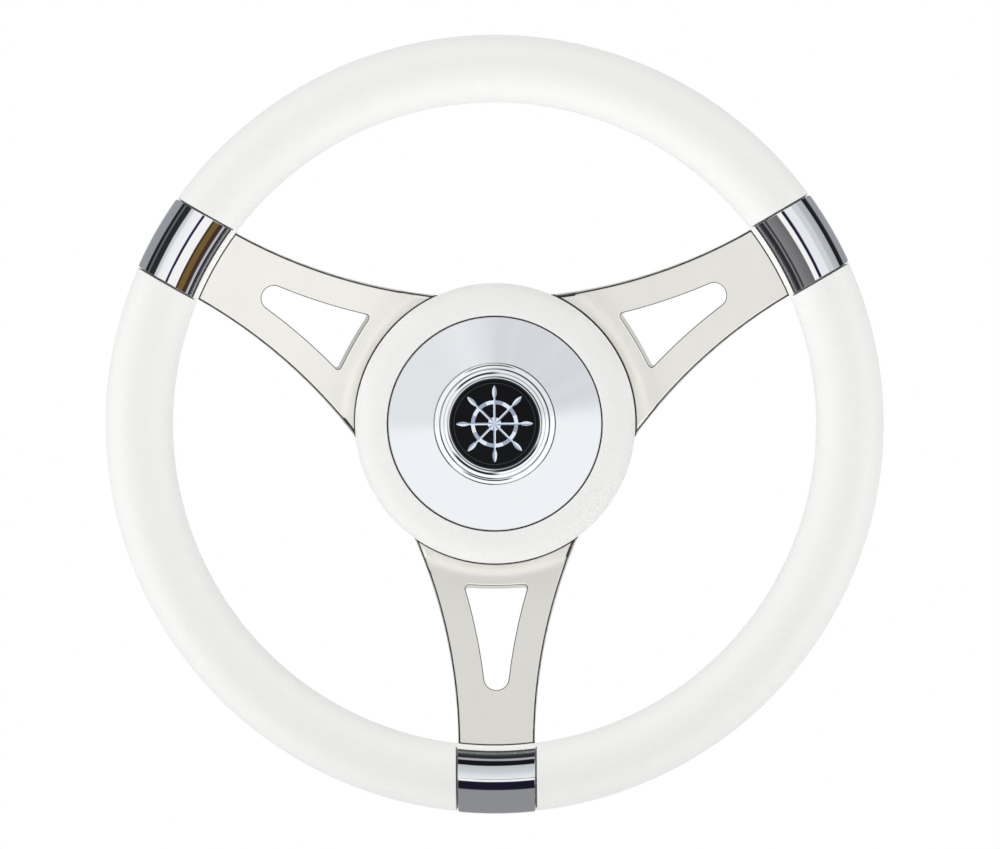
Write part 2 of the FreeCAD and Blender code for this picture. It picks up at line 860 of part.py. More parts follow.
def badge_blank():
    """Domed disc before the inlay's pockets are cut."""
    floor = cap_levels()[3]
    radius = badge_diameter / 2
    rim = floor + badge_thickness
    top = rim + badge_dome_rise
    sphere_radius = (radius ** 2 + badge_dome_rise ** 2) / (2 * badge_dome_rise)
    half = radius / 2
    half_height = top - sphere_radius + math.sqrt(sphere_radius ** 2 - half ** 2)
    return revolved((0, floor), (radius, floor), (radius, rim), ((half, half_height), (0, top)))


def ring_prism(inner, outer, low, high):
    return cylinder(outer, low, high).cut(cylinder(inner, low - 1, high + 1))


def emblem_handle():
    """One turned handle beyond the helm's ring, with its spoke, in the XY plane along +X."""
    spoke = emblem_spoke_width / 2
    neck = emblem_handle_neck / 2
    bulge = emblem_handle_width / 2
    ring_edge = emblem_ring_radius
    collar = ring_edge + emblem_handle_width / 2
    belly = (collar + emblem_tip_radius) / 2
    return flat_face(
        (emblem_hub_radius / 2, -spoke), (ring_edge, -spoke), (collar, -neck),
        ((belly, -bulge), (emblem_tip_radius - neck, -neck)),
        ((emblem_tip_radius, 0), (emblem_tip_radius - neck, neck)),
        ((belly, bulge), (collar, neck)),
        (ring_edge, spoke), (emblem_hub_radius / 2, spoke),
    )


def badge_emblem():
    """Ship's helm and a thin border, set flush into the dome."""
    low = cap_levels()[3] + badge_thickness + emblem_depth_at_rim - badge_dome_rise / 4
    high = low + 2 * badge_dome_rise
    helm = [ring_prism(emblem_ring_radius - emblem_ring_width, emblem_ring_radius, low, high)]
    helm.append(cylinder(emblem_hub_radius, low, high))
    for index in range(emblem_spoke_count):
        handle = emblem_handle()
        handle.translate(Vector(0, 0, low))
        handle = handle.extrude(Vector(0, 0, high - low))
        helm.append(turned(handle, index * 360.0 / emblem_spoke_count))
    border = ring_prism(emblem_border_radius - emblem_border_width, emblem_border_radius, low, high)
    dome = badge_blank()
    return Part.makeCompound([joined(helm).common(dome), border.common(dome)])


def badge_plate():
    return badge_blank().cut(badge_emblem())


def export(name, shape):
    upright = shape.copy()
    upright.rotate(CENTRE, Vector(1, 0, 0), 90)
    upright.exportStep("parts/" + name + ".step")


def main():
    os.makedirs("parts", exist_ok=True)
    pieces = {
        "spider_plate": spider_plate(),
        "hub_boss": hub_boss(),
        "hub_screws": hub_screws(),
        "rear_cover": rear_cover(),
        "rim_core": rim_core(),
        "rim_grip": rim_grip(),
        "clip_screws": Part.makeCompound(clip_screws()),
        "pad_carrier": pad_carrier(),
        "stud_grommets": stud_grommets(),
        "hub_pad": hub_pad(),
        "face_disc": face_disc(),
        "cap_bezel": cap_bezel(),
        "cap_o_ring": cap_o_ring(),
        "badge_plate": badge_plate(),
        "badge_emblem": badge_emblem(),
    }
    front = clip_front()
    rear = clip_rear()
    for index, side in enumerate(("bottom", "right", "left")):
        pieces["clip_front_" + side] = turned(front, arm_angle(index))
        pieces["clip_rear_" + side] = turned(rear, arm_angle(index))
    for name, shape in pieces.items():
        solids = len(shape.Solids)
        valid = "valid" if shape.isValid() else "NOT VALID"
        print(f"{name}: {solids} solid(s), {shape.Volume / 1000:.2f} cm3, {valid}")
        export(name, shape)


main()
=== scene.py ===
import math

import bmesh
import bpy
from mathutils import Matrix, Vector


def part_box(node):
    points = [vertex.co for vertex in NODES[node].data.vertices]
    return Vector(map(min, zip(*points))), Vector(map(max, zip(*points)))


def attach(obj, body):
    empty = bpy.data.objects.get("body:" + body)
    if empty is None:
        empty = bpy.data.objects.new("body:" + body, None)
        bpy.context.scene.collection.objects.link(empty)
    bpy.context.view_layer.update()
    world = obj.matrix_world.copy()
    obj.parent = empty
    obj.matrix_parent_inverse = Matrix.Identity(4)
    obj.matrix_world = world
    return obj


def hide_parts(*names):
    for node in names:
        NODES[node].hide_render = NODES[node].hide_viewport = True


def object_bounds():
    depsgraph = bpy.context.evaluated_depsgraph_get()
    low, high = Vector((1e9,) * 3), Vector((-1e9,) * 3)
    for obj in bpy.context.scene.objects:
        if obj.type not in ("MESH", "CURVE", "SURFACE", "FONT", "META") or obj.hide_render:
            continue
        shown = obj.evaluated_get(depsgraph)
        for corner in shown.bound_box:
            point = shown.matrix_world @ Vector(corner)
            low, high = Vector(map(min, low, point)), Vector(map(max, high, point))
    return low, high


# Boat steering wheel: a soft white rim, three stainless arms, chromed clips and a chromed cap.
# The packed solids are the fixed frame. Lengths are in metres. The wheel's axis is Y, its face
# looks towards -Y, and one arm points straight down.

bl_info = {
    "name": "Boat Steering Wheel",
    "version": (1, 0, 0),
    "blender": (4, 5, 0),
    "location": "3D View > Sidebar > Wheel",
    "description": "Dresses the packed boat steering wheel and sets its stage and camera",
    "category": "Object",
}

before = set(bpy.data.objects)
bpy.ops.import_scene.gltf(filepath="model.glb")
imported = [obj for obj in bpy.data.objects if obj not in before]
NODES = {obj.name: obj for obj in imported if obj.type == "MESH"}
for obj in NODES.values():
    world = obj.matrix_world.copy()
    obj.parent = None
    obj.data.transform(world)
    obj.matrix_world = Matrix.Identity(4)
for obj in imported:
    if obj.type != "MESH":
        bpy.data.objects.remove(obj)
CAD_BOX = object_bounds()

MM = 0.001
DEGREES = 180.0 / math.pi
ARM_COUNT = 3
FIRST_ARM = math.radians(-90)
ARM_STEP = math.tau / ARM_COUNT

GRIP_LOW, GRIP_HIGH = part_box("rim_grip")
CLIP_LOW, CLIP_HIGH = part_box("clip_front_bottom")
PAD_LOW, PAD_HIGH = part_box("hub_pad")
SCREW_LOW, SCREW_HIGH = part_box("clip_screws")
GRIP_RADIUS = (GRIP_HIGH.y - GRIP_LOW.y) / 2
RING_RADIUS = GRIP_HIGH.x - GRIP_RADIUS
RING_Y = (GRIP_HIGH.y + GRIP_LOW.y) / 2
GRIP_FOOT = RING_RADIUS - GRIP_RADIUS
PLATE_THICKNESS = 5 * MM
PLATE_FRONT = PLATE_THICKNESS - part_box("spider_plate")[1].y
SEAT_WIDTH = CLIP_HIGH.x - CLIP_LOW.x + 0.6 * MM
CLIP_RADIUS = RING_Y - CLIP_LOW.y
PAD_LIP = 48.5 * MM
BADGE_LIP = 20.5 * MM
MOTIF_EDGE = 17.3 * MM


# Sizes and colours that a user may change

def setting(kind, **limits):
    """What makes properties of one kind from a name, a description and a default."""
    def made(name, description, default):
        return kind(name=name, description=description, default=default, **limits)
    return made


length = setting(bpy.props.FloatProperty, unit="LENGTH", precision=5)
angle = setting(bpy.props.FloatProperty, subtype="ANGLE")
focal_length = setting(bpy.props.FloatProperty, unit="CAMERA")
share = setting(bpy.props.FloatProperty, min=0.0, soft_max=1.0)
count = setting(bpy.props.IntProperty, min=3)
colour = setting(bpy.props.FloatVectorProperty, size=3, min=0.0, max=1.0, subtype="COLOR")


class WheelRim(bpy.types.PropertyGroup):
    """Sizes of the rim's moulding and of the screws in the clips."""

    ring_radius: length("Ring radius", "From the axis to the grip's middle", RING_RADIUS)
    grip_radius: length("Grip radius", "Half the grip's thickness", GRIP_RADIUS)
    ring_y: length("Ring place", "Place of the grip's middle along the axis", RING_Y)
    seat_width: length("Seat width", "Width of the recess under each clip", SEAT_WIDTH)
    seat_depth: length("Seat depth", "Depth of the recess under each clip", 1.45 * MM)
    seat_mouth: length("Seat mouth", "Rounding where the recess meets the grip", 0.8 * MM)
    seat_end: angle("Seat end", "Where each recess stops, from the grip's hub side", math.radians(29.5))
    flash_height: length("Flash height", "Height of the mould's parting line", 0.05 * MM)
    slices: count("Slices", "Sections from one gap's middle to the next", 164)
    sides: count("Sides", "Points round the grip's section", 120)
    screw_head_radius: length("Screw head", "Radius of a clip screw's head", 2.3 * MM)
    screw_spacing: length("Screw spacing", "From one screw of a clip to the other", 21 * MM)
    screw_offset: length("Screw offset", "From the grip's middle out to the screws", 9.6 * MM)


class WheelPad(bpy.types.PropertyGroup):
    """Sizes of the hub's moulded pad."""

    outer_radius: length("Outer radius", "Largest radius of the pad", PAD_HIGH.x)
    inner_radius: length("Inner radius", "Radius of the carrier's bore", 52 * MM)
    lip_radius: length("Lip radius", "Radius of the lip round the face disc", PAD_LIP)
    round_radius: length("Rounding", "Radius of the pad's rounded outside", 14 * MM)
    foot_round: length("Foot rounding", "Radius of the edge nearest the arms", 2.5 * MM)
    skirt_draft: length("Skirt draft", "How much narrower the pad is at its foot", 1.6 * MM)
    lip_round: length("Lip rounding", "Radius of the lip's edge", 0.7 * MM)
    lip_depth: length("Lip depth", "How far the lip's inner side goes down", 2.6 * MM)
    arm_gap: length("Gap over the arms", "Clearance between the pad and each arm", 1.6 * MM)
    slices: count("Slices", "Sections from one gap's middle to the next", 130)


class WheelColours(bpy.types.PropertyGroup):
    """Base colours of the finishes."""

    moulding: colour("Moulding", "Soft white moulding of rim and pad", (0.905, 0.905, 0.895))
    plate: colour("Plate", "Satin stainless of the arms", (0.88, 0.865, 0.83))
    # Painted shade: dark reflections on the plate's rounded edges, and its contact shadow by pad and grip.
    edge_shade: colour("Cut edge", "Edges of the stainless plate", (0.045, 0.043, 0.042))
    chrome: colour("Chrome", "Chromed clips and cap", (0.88, 0.885, 0.89))
    disc: colour("Disc", "Polished face disc", (0.86, 0.865, 0.87))
    aluminium: colour("Aluminium", "Turned boss", (0.62, 0.62, 0.625))
    plastic: colour("Plastic", "Rear cover and carrier", (0.018, 0.018, 0.019))
    rubber: colour("Rubber", "Grommets and cap ring", (0.012, 0.012, 0.012))
    screw: colour("Screws", "Stainless screws", (0.55, 0.55, 0.54))
    badge: colour("Badge", "Black dome of the badge", (0.004, 0.004, 0.005))
    motif_light: colour("Motif, light side", "Lighter half of the badge's helm", (0.76, 0.85, 0.95))
    motif_shade: colour("Motif, shaded side", "Darker half of the badge's helm", (0.30, 0.36, 0.48))


class WheelStage(bpy.types.PropertyGroup):
    """Camera, light and floor."""

    lens: focal_length("Lens", "Focal length", 360.0)
    distance: length("Distance", "From the camera to the middle of the grip's plane", 4.498)
    aside: length("Aside", "How far right of the middle it looks", 2.5 * MM)
    above: length("Above", "How far above the middle it looks", -0.2 * MM)
    swing: angle("Swing", "How far right the camera stands", math.radians(0.7))
    rise: angle("Rise", "How far up the camera stands", math.radians(0.8))
    roll: angle("Roll", "Turn of the camera about the line of sight", math.radians(0.38))
    front_light: share("Front light", "Strength of the soft light from straight in front", 0.1)
    side_light: share("Side light", "Strength of the soft light from the sides", 1.52)
    rear_light: share("Rear light", "Strength of the soft light from behind", 0.36)
    back_lamp: share("Back lamp", "Strength of a broad lamp straight behind", 0.9)
    floor_drop: length("Floor drop", "From the wheel's lowest point to the floor", 0.25)
    floor_radius: length("Floor radius", "Radius of the round floor", 0.5)
    tent_radius: length("Tent radius", "Radius of the light tent", 20.0)


# Node trees

class Term:
    """A node's output. Reckoning with it adds nodes to its tree."""

    def __init__(self, maker, socket):
        self.maker, self.socket = maker, socket

    def of(self, operation, *others):
        """The result of a named operation on this value."""
        return self.maker.math(operation, self, *others)

    def __add__(self, other):
        return self.of("ADD", other)

    def __sub__(self, other):
        return self.of("SUBTRACT", other)

    def __rsub__(self, other):
        return self.maker.math("SUBTRACT", other, self)

    def __mul__(self, other):
        return self.of("MULTIPLY", other)

    def __truediv__(self, other):
        return self.of("DIVIDE", other)

    def __abs__(self):
        return self.of("ABSOLUTE")

    def span(self, low, high, to_low=0.0, to_high=1.0, kind="LINEAR"):
        """The value carried from low..high to to_low..to_high, and held at the ends."""
        inputs = {"Value": self, "From Min": low, "From Max": high, "To Min": to_low, "To Max": to_high}
        return self.maker.term("ShaderNodeMapRange", inputs, interpolation_type=kind)

    def ease(self, low, high, to_low=0.0, to_high=1.0):
        """A span with soft ends."""
        return self.span(low, high, to_low, to_high, "SMOOTHSTEP")


class Maker:
    """Adds nodes to one tree and links them. An input is a number, a colour or a Term."""

    def __init__(self, tree):
        self.tree = tree

    def give(self, node, key, value):
        if isinstance(value, Term):
            self.tree.links.new(value.socket, node.inputs[key])
        else:
            node.inputs[key].default_value = value

    def node(self, kind, inputs=None, **settings):
        made = self.tree.nodes.new(kind)
        for name, value in settings.items():
            setattr(made, name, value)
        for key, value in (inputs or {}).items():
            self.give(made, key, value)
        return made

    def term(self, kind, inputs=None, output=0, **settings):
        """One output of a new node."""
        return Term(self, self.node(kind, inputs, **settings).outputs[output])

    def terms(self, kind, inputs=None, **settings):
        """All outputs of a new node, by name."""
        return {output.name: Term(self, output) for output in self.node(kind, inputs, **settings).outputs}

    def math(self, operation, *values):
        return self.term("ShaderNodeMath", dict(enumerate(values)), operation=operation)

    def vector(self, operation, *values, output=0):
        return self.term("ShaderNodeVectorMath", dict(enumerate(values)), output, operation=operation)

    def mix(self, factor, first, second):
        """A colour between two colours."""
        made = self.node("ShaderNodeMix", {0: factor}, data_type="RGBA")
        for key, value in ((6, first), (7, second)):
            self.give(made, key, value if isinstance(value, Term) else (*value, 1.0))
        return Term(self, made.outputs[2])

    def split(self, value):
        return list(self.terms("ShaderNodeSeparateXYZ", {0: value}).values())

    def joined(self, x, y, z):
        return self.term("ShaderNodeCombineXYZ", {0: x, 1: y, 2: z})

    def noise(self, place, scale, detail=2.0, roughness=0.5, output=0):
        inputs = {"Vector": place, "Scale": scale, "Detail": detail, "Roughness": roughness}
        return self.term("ShaderNodeTexNoise", inputs, output)

    def place(self):
        """Where a point lies in its object's own frame."""
        return self.term("ShaderNodeTexCoord", output="Object")

    def from_axis(self):
        """Distance from the wheel's axis."""
        x, _, z = self.split(self.place())
        return (x * x + z * z).of("SQRT")

    def upright(self):
        """1 on a face square to the wheel's axis, 0 on one that runs along it."""
        return abs(self.split(self.term("ShaderNodeNewGeometry", output="Normal"))[1])


class Group(Maker):
    """Maker of a node group. An input is given its default or, where it has none, its type."""

    def __init__(self, name, inputs, kind="ShaderNodeTree"):
        super().__init__(bpy.data.node_groups.new(name, kind))
        types = {float: "NodeSocketFloat", int: "NodeSocketInt"}
        for label, default in inputs.items():
            socket = self.tree.interface.new_socket(
                name=label, in_out="INPUT", socket_type=types.get(type(default), default))
            if type(default) in types:
                socket.default_value = default
        self.given = list(self.terms("NodeGroupInput").values())[:len(inputs)]

    def done(self, socket_type="NodeSocketFloat", **outputs):
        """Adds the named outputs and gives the tree."""
        for label in outputs:
            self.tree.interface.new_socket(name=label, in_out="OUTPUT", socket_type=socket_type)
        self.node("NodeGroupOutput", outputs)
        arrange(self.tree)
        return self.tree

    def solid(self, geometry, material):
        """Ends a tree of geometry nodes with a plain mesh in one material."""
        whole = self.term("GeometryNodeRealizeInstances", {"Geometry": geometry})
        made = self.term("GeometryNodeSetMaterial", {"Geometry": whole, "Material": material})
        return self.done("NodeSocketGeometry", Geometry=made)


class Finish(Maker):
    """Maker of a material with a Principled shader."""

    def __init__(self, name, **constants):
        self.material = bpy.data.materials.new(name)
        super().__init__(cleared(self.material))
        self.shader = self.node("ShaderNodeBsdfPrincipled")
        self.set(constants)
        self.node("ShaderNodeOutputMaterial", {"Surface": Term(self, self.shader.outputs[0])})

    def set(self, inputs):
        for label, value in labelled(inputs).items():
            self.give(self.shader, label, value)

    def effect(self, name, **values):
        """Places a shader group, with this material's own values. Gives its outputs."""
        tree = bpy.data.node_groups.get(name) or EFFECTS[name]()
        return self.terms("ShaderNodeGroup", labelled(values), node_tree=tree)

    def marks(self, scale, contrast):
        return self.effect("Handling marks", Scale=scale, Contrast=contrast)["Marks"]

    def satin_ray(self, path):
        """1 where satin metal shows the surface."""
        return path["Is Glossy Ray"] - path["Is Singular Ray"]

    def with_painted_reflections(self, shade, satin_reflection):
        """Painted reflections: dark where polished chrome shows the surface, and satin_reflection where satin
        metal does.
        """
        path = self.terms("ShaderNodeLightPath")
        shade = self.mix(self.satin_ray(path) * 0.8, shade, satin_reflection)
        return self.mix(path["Is Singular Ray"], shade, PAINTED_CHROME_REFLECTION)

    def rubbed(self, marks, base, factor=0.975):
        """base, a little darker where it is marked."""
        return self.mix(marks, tint(base, factor), base)

    def bump(self, height, depth, strength, **more):
        """A normal that follows height, over a depth in mm."""
        inputs = {"Strength": strength, "Distance": depth * MM, "Height": height, **more}
        return self.term("ShaderNodeBump", inputs)

    def done(self, **inputs):
        """Feeds the shader and gives the material."""
        self.set(inputs)
        arrange(self.tree)
        return self.material


def labelled(values):
    """Named values by their inputs' labels."""
    return {name.replace("_", " "): value for name, value in values.items()}


def sizes_of(settings, *names):
    """A property group's values, by their inputs' labels."""
    return labelled({name.capitalize(): getattr(settings, name) for name in names})


def cleared(owner):
    """The empty node tree of a new material or world."""
    owner.use_nodes = True
    owner.node_tree.nodes.clear()
    return owner.node_tree


def arrange(tree):
    """Sets the nodes out in columns, each to the right of what it reads."""
    depth = {}

    def column(node):
        if node.name not in depth:
            depth[node.name] = 0
            feeds = [link.from_node for socket in node.inputs for link in socket.links]
            depth[node.name] = 1 + max((column(feed) for feed in feeds), default=-1)
        return depth[node.name]

    rows = {}
    for node in tree.nodes:
        place = column(node)
        rows[place] = rows.get(place, 0) + 1
        node.location = (200 * place, -180 * rows[place])


def cosine(degrees):
    return math.cos(math.radians(degrees))


def towards(x, z, side):
    """How far a place lies towards a side, in degrees round the wheel's axis."""
    turn = math.radians(side)
    return x * math.cos(turn) + z * math.sin(turn)


def line_at(distance, place, reach):
    """1 on a line at a distance, falling to 0 within reach of it."""
    return abs(distance - place).span(reach * 0.45, reach, 1, 0)


def tint(base, factor):
    return tuple(part * factor for part in base)


# Shader groups

def grain_group():
    """Pebbled grain of a soft moulding: rounded cells with creases between them."""
    group = Group("Moulded grain", {"Cells per metre": 900.0, "Waver": 0.25, "Crease": 0.22})
    scale, waver, crease = group.given
    place = group.place()
    push = group.vector("SUBTRACT", group.noise(place, scale, output="Color"), (0.5, 0.5, 0.5))
    moved = group.vector("ADD", place, group.term(
        "ShaderNodeVectorMath", {0: push, 3: waver / scale}, operation="SCALE"))
    cells = group.term(
        "ShaderNodeTexVoronoi", {"Vector": moved, "Scale": scale}, "Distance", feature="DISTANCE_TO_EDGE")
    pebble = cells.ease(0, crease)
    fine = group.noise(place, scale * 2.6)
    return group.done(Height=pebble * 0.75 + fine * 0.5, Creases=1.0 - pebble)


def marks_group():
    """Faint clouds and rubbed patches that handling and cleaning leave."""
    group = Group("Handling marks", {"Scale": 25.0, "Contrast": 0.5})
    scale, contrast = group.given
    place = group.place()
    broad = group.noise(place, scale, 4.0, 0.6)
    fine = group.noise(place, scale * 7.0, 3.0)
    half = contrast * 0.5
    return group.done(Marks=(broad * 0.7 + fine * 0.3).span(0.5 - half, half + 0.5))


def turned_group():
    """Fine rings that a lathe or a polishing wheel leaves round the wheel's axis."""
    group = Group("Turned rings", {"Ring spacing": 0.4 * MM, "Unevenness": 0.5})
    spacing, unevenness = group.given
    rings = group.from_axis() / spacing
    wave = (rings * math.tau).of("SINE")

    def noise(**inputs):
        return group.term("ShaderNodeTexNoise", inputs, noise_dimensions="1D")

    height = wave * 0.25 + noise(W=rings, Scale=1.3, Detail=3.0) * unevenness
    return group.done(Height=height, Bands=noise(W=rings * 0.12, Scale=1.0))


EFFECTS = {"Moulded grain": grain_group, "Handling marks": marks_group, "Turned rings": turned_group}


# Finishes

# Painted reflection: the dark colour a surface is given where polished chrome shows it.
PAINTED_CHROME_REFLECTION = (0.03, 0.03, 0.034)
# Painted shadow in the moulding's gaps beside the clips and round the disc.
GAP_SHADOW = (0.03, 0.028, 0.03)
# Painted shade and dark reflections in the cap's steps: its lines and its arcs.
CAP_LINE_SHADE = (0.02, 0.02, 0.024)
CAP_ARC_SHADE = (0.012, 0.012, 0.014)
BADGE_RING = (0.006, 0.006, 0.007)
MOTIF_BORDER = (0.004, 0.004, 0.005)


def soft_moulding(base):
    """White soft moulding with a fine pebbled grain, and painted shadow in the gaps beside the clips and
    round the disc.
    """
    finish = Finish("Soft white moulding")
    grain = finish.effect("Moulded grain", Cells_per_metre=820.0, Waver=0.5, Crease=0.3)
    marks = finish.marks(38.0, 0.55)
    x, _, z = finish.split(finish.place())
    radius = finish.from_axis()
    # The rim is painted a little darker from its inner side out over its crest and outer side, painted shade
    # that leaves its inner side lighter, and the pad's rounding is painted a little brighter, as painted
    # light on its sloping sides.
    painted_rim_shade = radius.ease(RING_RADIUS - 9 * MM, RING_RADIUS + 5 * MM)
    clean = finish.mix(painted_rim_shade, base, tint(base, 0.955))
    rounding = radius.span(55.5 * MM, 60.5 * MM) * radius.span(66 * MM, 68 * MM, 1, 0)
    clean = finish.mix(rounding, clean, tint(base, 1.06))
    clouded = finish.mix(marks * 0.015, clean, (0.0, 0.0, 0.0))
    creased = finish.mix(grain["Creases"] * 0.35, clouded, tint(base, 0.93))
    # Painted shadow lies in the gaps beside each clip, but not on the hub's side of the grip, and in a thin
    # line round the disc.
    turn = (z.of("ARCTAN2", x) + (math.tau - FIRST_ARM)).of("MODULO", ARM_STEP)
    off = turn.of("MINIMUM", ARM_STEP - turn)
    gap = abs(radius * off.of("SINE") - SEAT_WIDTH / 2).span(0.12 * MM, 0.42 * MM, 1, 0)
    outside = radius.span(RING_RADIUS - 13.9 * MM, RING_RADIUS - 13.5 * MM)
    lip = radius.span(PAD_LIP + 0.12 * MM, PAD_LIP + 0.4 * MM, 1, 0)
    gap_shadowed = finish.mix((gap * outside).of("MAXIMUM", lip), creased, GAP_SHADOW)
    height = grain["Height"] * finish.upright().span(0.25, 0.7)
    # Seen in chrome the moulding is painted dark, and seen in satin metal painted brighter: painted
    # reflections.
    return finish.done(
        Base_Color=finish.with_painted_reflections(gap_shadowed, tint(base, 1.16)),
        Roughness=marks.span(0, 1, 0.38, 0.46),
        Normal=finish.bump(height, 0.12, 0.6),
    )


def satin_steel(base, edge_shade):
    """Satin stainless plate, rougher on its rounded edges, painted dark there as painted reflections, and
    painted dark close to pad and grip as painted contact shadow.
    """
    finish = Finish("Satin stainless plate", Metallic=1.0)
    marks = finish.marks(16.0, 0.6)
    upright = finish.upright()
    radius = finish.from_axis()
    # The part clear of the painted contact shadow at the grip's foot and round the pad.
    clear_of_contact_shade = radius.span(GRIP_FOOT - 0.75 * MM, GRIP_FOOT - 0.45 * MM, 1, 0) * radius.span(
        PAD_HIGH.x + 0.6 * MM, PAD_HIGH.x + 0.95 * MM)
    # Painted shade: where face is 0 the plate takes the dark edge shade, on its rounded edges as painted
    # reflections and near pad and grip as painted contact shadow; the cut walls keep the plate's colour.
    cut_wall = upright.span(0.38, 0.46, 1, 0)
    face = upright.ease(0.85, 0.93).of("MAXIMUM", cut_wall) * clear_of_contact_shade
    clouded = finish.rubbed(marks, base)
    return finish.done(
        Base_Color=finish.with_painted_reflections(finish.mix(face, edge_shade, clouded), base),
        Roughness=face.span(0, 1, 0.5, marks.span(0, 1, 0.2, 0.25)),
        Normal=finish.bump(finish.noise(finish.place(), 2600.0), 0.012, 0.35),
    )


def chrome(base):
    """Bright chrome, with a trace of wave and faint wiping marks."""
    finish = Finish("Bright chrome", Metallic=1.0)
    marks = finish.marks(60.0, 0.45)
    # What it throws on to the moulding beside it is spread out.
    path = finish.terms("ShaderNodeLightPath")
    spread = path["Is Diffuse Ray"].of("MAXIMUM", finish.satin_ray(path))
    # The shell's outside is polished to one smooth tube, also over the ends of the posts inside it.
    place = finish.place()
    x, _, z = finish.split(place)
    to_ring = finish.math("DIVIDE", RING_RADIUS, finish.from_axis())
    out = finish.vector("SUBTRACT", place, finish.joined(x * to_ring, RING_Y, z * to_ring))
    height = finish.vector("LENGTH", out, output=1)
    outside = height.span(CLIP_RADIUS - 0.012 * MM, CLIP_RADIUS + 0.004 * MM)
    own = finish.term("ShaderNodeNewGeometry", output="Normal")
    inputs = {0: outside, 4: own, 5: finish.vector("NORMALIZE", out)}
    evened = finish.term("ShaderNodeMix", inputs, 1, data_type="VECTOR")
    return finish.done(
        Base_Color=finish.rubbed(marks, base),
        Roughness=spread * 0.5,
        Normal=finish.bump(finish.noise(place, 95.0, 1.0), 0.07, 0.35, Normal=evened),
    )


# Painted dark lines in the steps of the cap, standing for the shade and dark reflections of its steep steps:
# radius, reach to either side, both in mm, and strength.
CAP_LINES = ((21.2, 0.5, 0.95), (22.9, 0.3, 0.6), (24.75, 0.45, 1.0), (27.35, 0.4, 0.95))

# Painted dark reflection arcs that lie in part of a step: radius and reach in mm, middle and half width in
# degrees.
CAP_SHADE_ARCS = (
    (22.6, 0.75, 244, 34), (21.3, 0.8, 300, 40), (22.9, 0.6, 112, 30), (25.6, 0.4, 262, 30),
    (26.4, 0.35, 95, 28),
)


def cap_chrome(base):
    """Chrome of the stepped cap, with a black line round the badge, painted dark lines in the steps and
    painted dark reflection arcs in parts of them.
    """
    finish = Finish("Cap chrome")
    place = finish.place()
    radius = finish.from_axis()
    marks = finish.marks(60.0, 0.45)
    marked_and_shaded = finish.with_painted_reflections(finish.rubbed(marks, base), base)
    uneven = finish.noise(place, 42, 3).span(0.36, 0.6, 0.45, 1)
    # Painted shade: dark lines in the steps, then dark reflection arcs in parts of them.
    for ring, reach, strength in CAP_LINES:
        marked_and_shaded = finish.mix(line_at(radius, ring * MM, reach * MM) * strength * uneven, marked_and_shaded, CAP_LINE_SHADE)
    x, _, z = finish.split(place)
    for ring, reach, side, width in CAP_SHADE_ARCS:
        arc = (towards(x, z, side) / radius).ease(cosine(width), cosine(width * 0.6))
        marked_and_shaded = finish.mix(line_at(radius, ring * MM, reach * MM) * arc, marked_and_shaded, CAP_ARC_SHADE)
    bright = radius.span(BADGE_LIP, BADGE_LIP + 0.15 * MM)
    return finish.done(
        Base_Color=finish.mix(bright, BADGE_RING, marked_and_shaded),
        Metallic=bright,
        Roughness=marks.span(0, 1, 0.02, 0.035),
    )


def spun_steel(base):
    """Polished disc with the faint rings of its polishing."""
    finish = Finish("Polished disc", Metallic=1.0)
    rings = finish.effect("Turned rings", Ring_spacing=0.35 * MM, Unevenness=0.5)
    polished = tint(base, 0.87)
    shade = finish.mix(finish.marks(30.0, 0.5), tint(base, 0.857), polished)
    return finish.done(
        Base_Color=finish.with_painted_reflections(shade, polished),
        Roughness=rings["Bands"].span(0.3, 0.7, 0.015, 0.03),
        Normal=finish.bump(rings["Height"], 0.0004, 0.5),
    )


def turned_metal(name, base, spacing, low, high):
    """Bare metal with lathe rings, whose roughness runs from low to high."""
    finish = Finish(name, Metallic=1.0)
    rings = finish.effect("Turned rings", Ring_spacing=spacing, Unevenness=0.7)
    return finish.done(
        Base_Color=finish.rubbed(finish.marks(45.0, 0.6), base, 0.88),
        Roughness=rings["Bands"].span(0.3, 0.7, low, high),
        Normal=finish.bump(rings["Height"], 0.02, 0.5),
    )


def textured_plastic(name, base, cells):
    """Black moulded plastic with a spark-eroded texture."""
    finish = Finish(name, Specular_IOR_Level=0.4)
    grain = finish.effect("Moulded grain", Cells_per_metre=cells, Waver=0.6, Crease=0.35)
    marks = finish.marks(40.0, 0.5)
    return finish.done(
        Base_Color=finish.mix(marks, tint(base, 0.85), tint(base, 1.25)),
        Roughness=marks.span(0, 1, 0.42, 0.55),
        Normal=finish.bump(grain["Height"], 0.05, 0.5),
    )


def black_dome(base):
    """Glossy black dome of the badge."""
    finish = Finish("Black dome", Roughness=0.05, Specular_IOR_Level=0.06)
    return finish.done(Base_Color=finish.mix(finish.marks(90.0, 0.5), tint(base, 0.8), tint(base, 1.3)))


def motif_inlay(light, shade):
    """Pale inlay of the helm, each handle and spoke with a lit and a shaded half."""
    finish = Finish("Motif inlay", Roughness=0.22)
    x, _, z = finish.split(finish.place())
    lit = (z.of("ARCTAN2", x) * 8).of("SINE").span(-0.03, 0.03)
    flat = finish.mix(finish.marks(120.0, 0.5) * 0.15, finish.mix(lit, shade, light), tint(light, 0.8))
    border = finish.from_axis().span(MOTIF_EDGE, MOTIF_EDGE + 0.2 * MM)
    return finish.done(Base_Color=finish.mix(border, flat, MOTIF_BORDER))


def dress(material, *nodes):
    """Gives CAD nodes their finish. Their meshes stay as they are."""
    for name in nodes:
        piece = NODES[name]
        if not piece.material_slots:
            piece.data.materials.append(material)
        for slot in piece.material_slots:
            slot.material = material


# Pieces

def new_object(name, data):
    """A new object in the scene."""
    made = bpy.data.objects.new(name, data)
    bpy.context.scene.collection.objects.link(made)
    return made


